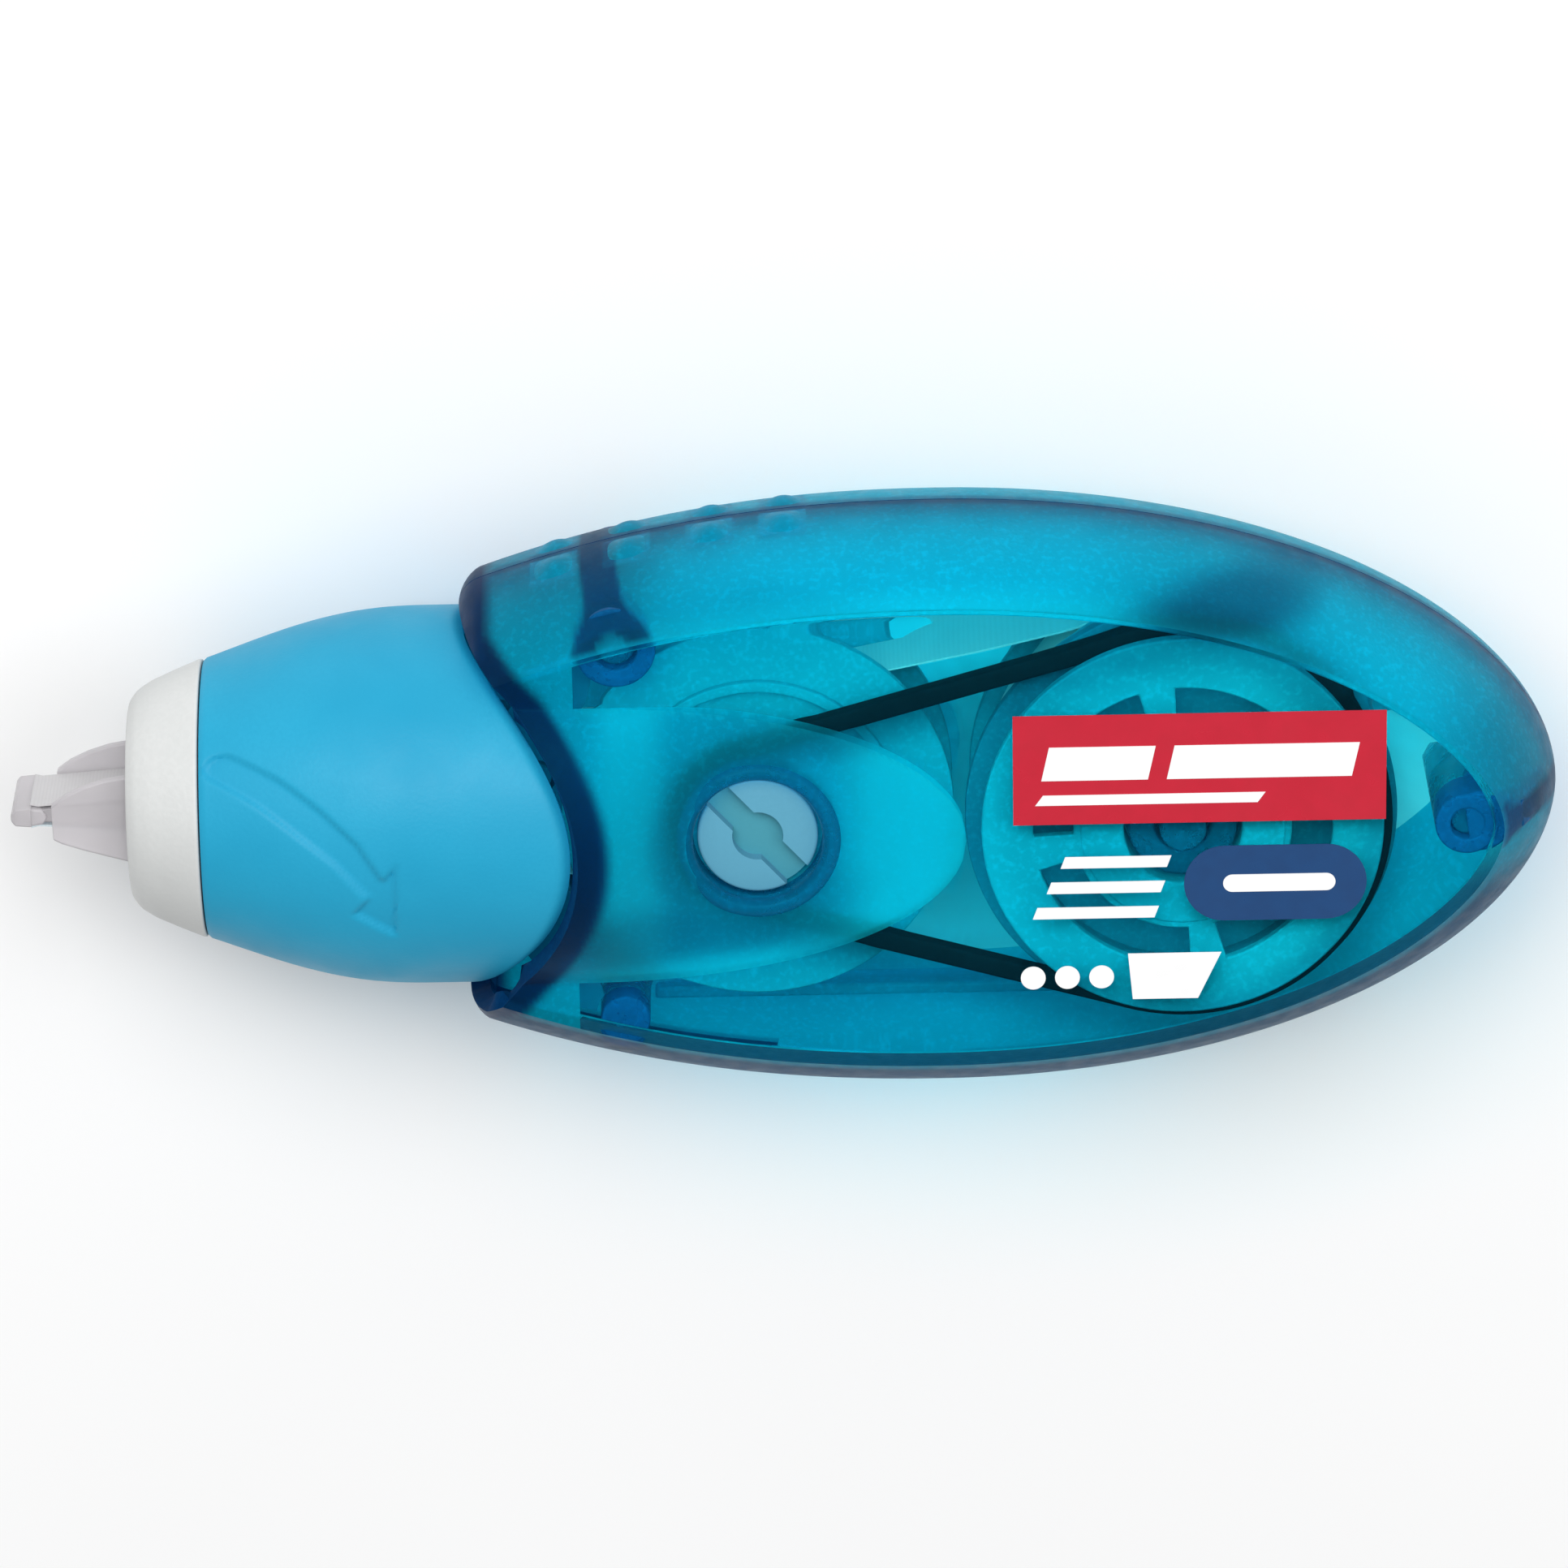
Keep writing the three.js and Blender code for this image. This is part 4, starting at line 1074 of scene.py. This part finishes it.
def build_belt():
    section = rounded(bar_shape(-BELT_HALF, BELT_HALF, BELT_Z - BELT_HALF, BELT_Z + BELT_HALF), 0.22)
    new_object("belt_skin", swept("belt_skin", belt_path(), section, True), [RUBBER], "housing",
               ("drive_belt",))


def ribbon(name, route, material, replaced):
    section = bar_shape(-RIBBON_HALF, RIBBON_HALF, -TAPE_HALF, TAPE_HALF)
    new_object(name, swept(name, route, section, False), [material], "housing", replaced,
               shade_smooth=False)


def build_tape():
    ribbon("feed_ribbon", FEED_ROUTE, BACKING, ("tape_feed_run",))
    ribbon("return_ribbon", RETURN_ROUTE, FILM, ("tape_return_run",))


# ---- printed label on the front panel: plain shapes with no lettering ----
PRINT_LOW, PRINT_HIGH = PANEL_Z + PARTING_GAP + 0.01, PANEL_Z + PARTING_GAP + 0.05
LAYER_STEP = 0.045
LABEL_STRIPES = ((16.4, 23.2, 4.0, 6.3), (24.4, 36.2, 4.0, 6.3), (16.0, 30.2, 2.3, 3.0))
LABEL_BLOCK = [(21.9, -8.1), (22.2, -11.3), (26.4, -11.3), (27.9, -8.1)]


def print_shape(name, outline, material, layer=0):
    lift = LAYER_STEP * layer
    mesh = extruded(name, outline, PRINT_LOW + lift, PRINT_HIGH + lift)
    new_object(name, mesh, [material], "housing", shade_smooth=False)


def pill(x0, x1, y, radius):
    return (circle(x1 - radius, y, radius, 20, -math.pi / 2, math.pi / 2, False)
            + circle(x0 + radius, y, radius, 20, math.pi / 2, 1.5 * math.pi, False))


def build_label():
    """Plain shapes where the real label has its words: a block with stripes, a pill, lines and dots."""
    print_shape("label_red", bar_shape(14.6, 38.4, 0.96, 8.47), INK_RED)
    for index, (start, end, low, high) in enumerate(LABEL_STRIPES):
        print_shape(f"label_stripe_{index}", bar_shape(start, end, low, high, 0.5), INK_WHITE, 1)
    print_shape("label_pill", pill(25.5, 37.2, -3.3, 2.6), INK_NAVY)
    print_shape("label_pill_bar", pill(28.0, 35.2, -3.3, 0.6), INK_WHITE, 1)
    for index in range(3):
        low = -1.3 - 1.75 * index
        start, end = 17.6 - 0.9 * index, 24.4 - 0.4 * index
        print_shape(f"label_speed_{index}", bar_shape(start, end, low - 0.8, low, 0.3), INK_WHITE)
    print_shape("label_white_block", LABEL_BLOCK, INK_WHITE)
    for index in range(3):
        print_shape(f"label_dot_{index}", circle(15.8 + 2.2 * index, -9.7, 0.8, 32), INK_WHITE)


# ---- the CAD nodes that stay ----
# the carrier pieces take the teal darkened as painted shade
STAYING = {"tip_carrier": CARRIER_IN_SHADE, "tip_pin": CARRIER_IN_SHADE, "upper_guide_pin": CARRIER_IN_SHADE, "lower_guide_pin": CARRIER_IN_SHADE,
           "cam_sleeve": CARRIER_IN_SHADE, "collar_retainer": COLLAR}


def dress_cad_nodes():
    for name, material in STAYING.items():
        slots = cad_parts[name].data.materials
        slots.clear()
        slots.append(material)


# ---- floor, light and camera ----
TILT = math.radians(22.5)  # the camera leans towards the top side by this much
ROLL = math.radians(1.05)
DISTANCE = 0.6
FIELD_MM = 101.68  # width of the view at the object
SENSOR = 36
AIM_LIFT = 0.2  # millimetres above the barrel's axis in the view


def build_stage():
    size = 1.6
    mesh = bpy.data.meshes.new("floor")
    corners = [(-size, -size, 0), (size, -size, 0), (size, size, 0), (-size, size, 0)]
    mesh.from_pydata(corners, [], [(0, 1, 2, 3)])
    paint = Paint("floor_pale", (0.93, 0.93, 0.93), 0.9)
    paint.colour(paint.blend(paint.ramp(paint.noise(8), 0.0, 1.0), (0.93, 0.93, 0.93), (0.91, 0.91, 0.91)))
    mesh.materials.append(paint.material)
    floor = bpy.data.objects.new("floor", mesh)
    bpy.context.scene.collection.objects.link(floor)


def area_light(name, location, size, power, colour=(1, 1, 1)):
    data = bpy.data.lights.new(name, "AREA")
    data.shape = "RECTANGLE"
    data.size, data.size_y = size
    data.energy = power
    data.color = colour
    light = bpy.data.objects.new(name, data)
    light.location = location
    light.rotation_mode = "QUATERNION"
    light.rotation_quaternion = (-Vector(location)).to_track_quat("-Z", "Y")
    bpy.context.scene.collection.objects.link(light)


def build_world(strength):
    world = bpy.data.worlds.new("studio")
    world.use_nodes = True
    background = world.node_tree.nodes["Background"]
    background.inputs["Color"].default_value = (1, 1, 1, 1)
    background.inputs["Strength"].default_value = strength
    bpy.context.scene.world = world


def build_camera():
    data = bpy.data.cameras.new("camera")
    data.sensor_width = SENSOR
    data.lens = SENSOR * DISTANCE / (FIELD_MM * MM)
    data.clip_start, data.clip_end = 0.01, 10
    camera = bpy.data.objects.new("camera", data)
    back = Vector((0, math.sin(TILT), math.cos(TILT)))
    up = Vector((0, math.cos(TILT), -math.sin(TILT)))
    right = up.cross(back)
    turn = Matrix.Rotation(-ROLL, 3, back)
    up, right = turn @ up, turn @ right
    aim = Vector((0, AXIS_Y, MID_Z)) + up * AIM_LIFT * MM
    axes = Matrix((right, up, back)).transposed().to_4x4()
    camera.matrix_world = Matrix.Translation(aim + back * DISTANCE) @ axes
    bpy.context.scene.collection.objects.link(camera)
    bpy.context.scene.camera = camera
    bpy.context.scene.view_settings.view_transform = "Standard"


# ---- everything in turn ----
build_shell("front_shell_skin", 1, "front_shell")
build_shell("rear_shell_skin", -1, "rear_shell")
build_hub_ring()
for number, boss in enumerate(BOSSES):
    build_boss(number, *boss)
build_grip_bumps()
build_supply_axle()
build_lower_rib()
build_barrel()
build_collar()
build_tip()
build_supply_pulley()
build_flanges_and_cores()
build_windings()
build_washer_and_small_pulley()
build_hub()
build_belt()
build_tape()
build_label()
dress_cad_nodes()
build_stage()
build_world(0.45)
area_light("key", (-0.12, 0.40, 0.60), (0.5, 0.35), 3.5)
area_light("fill", (0.38, 0.22, 0.58), (0.4, 0.4), 1.3)
build_camera()
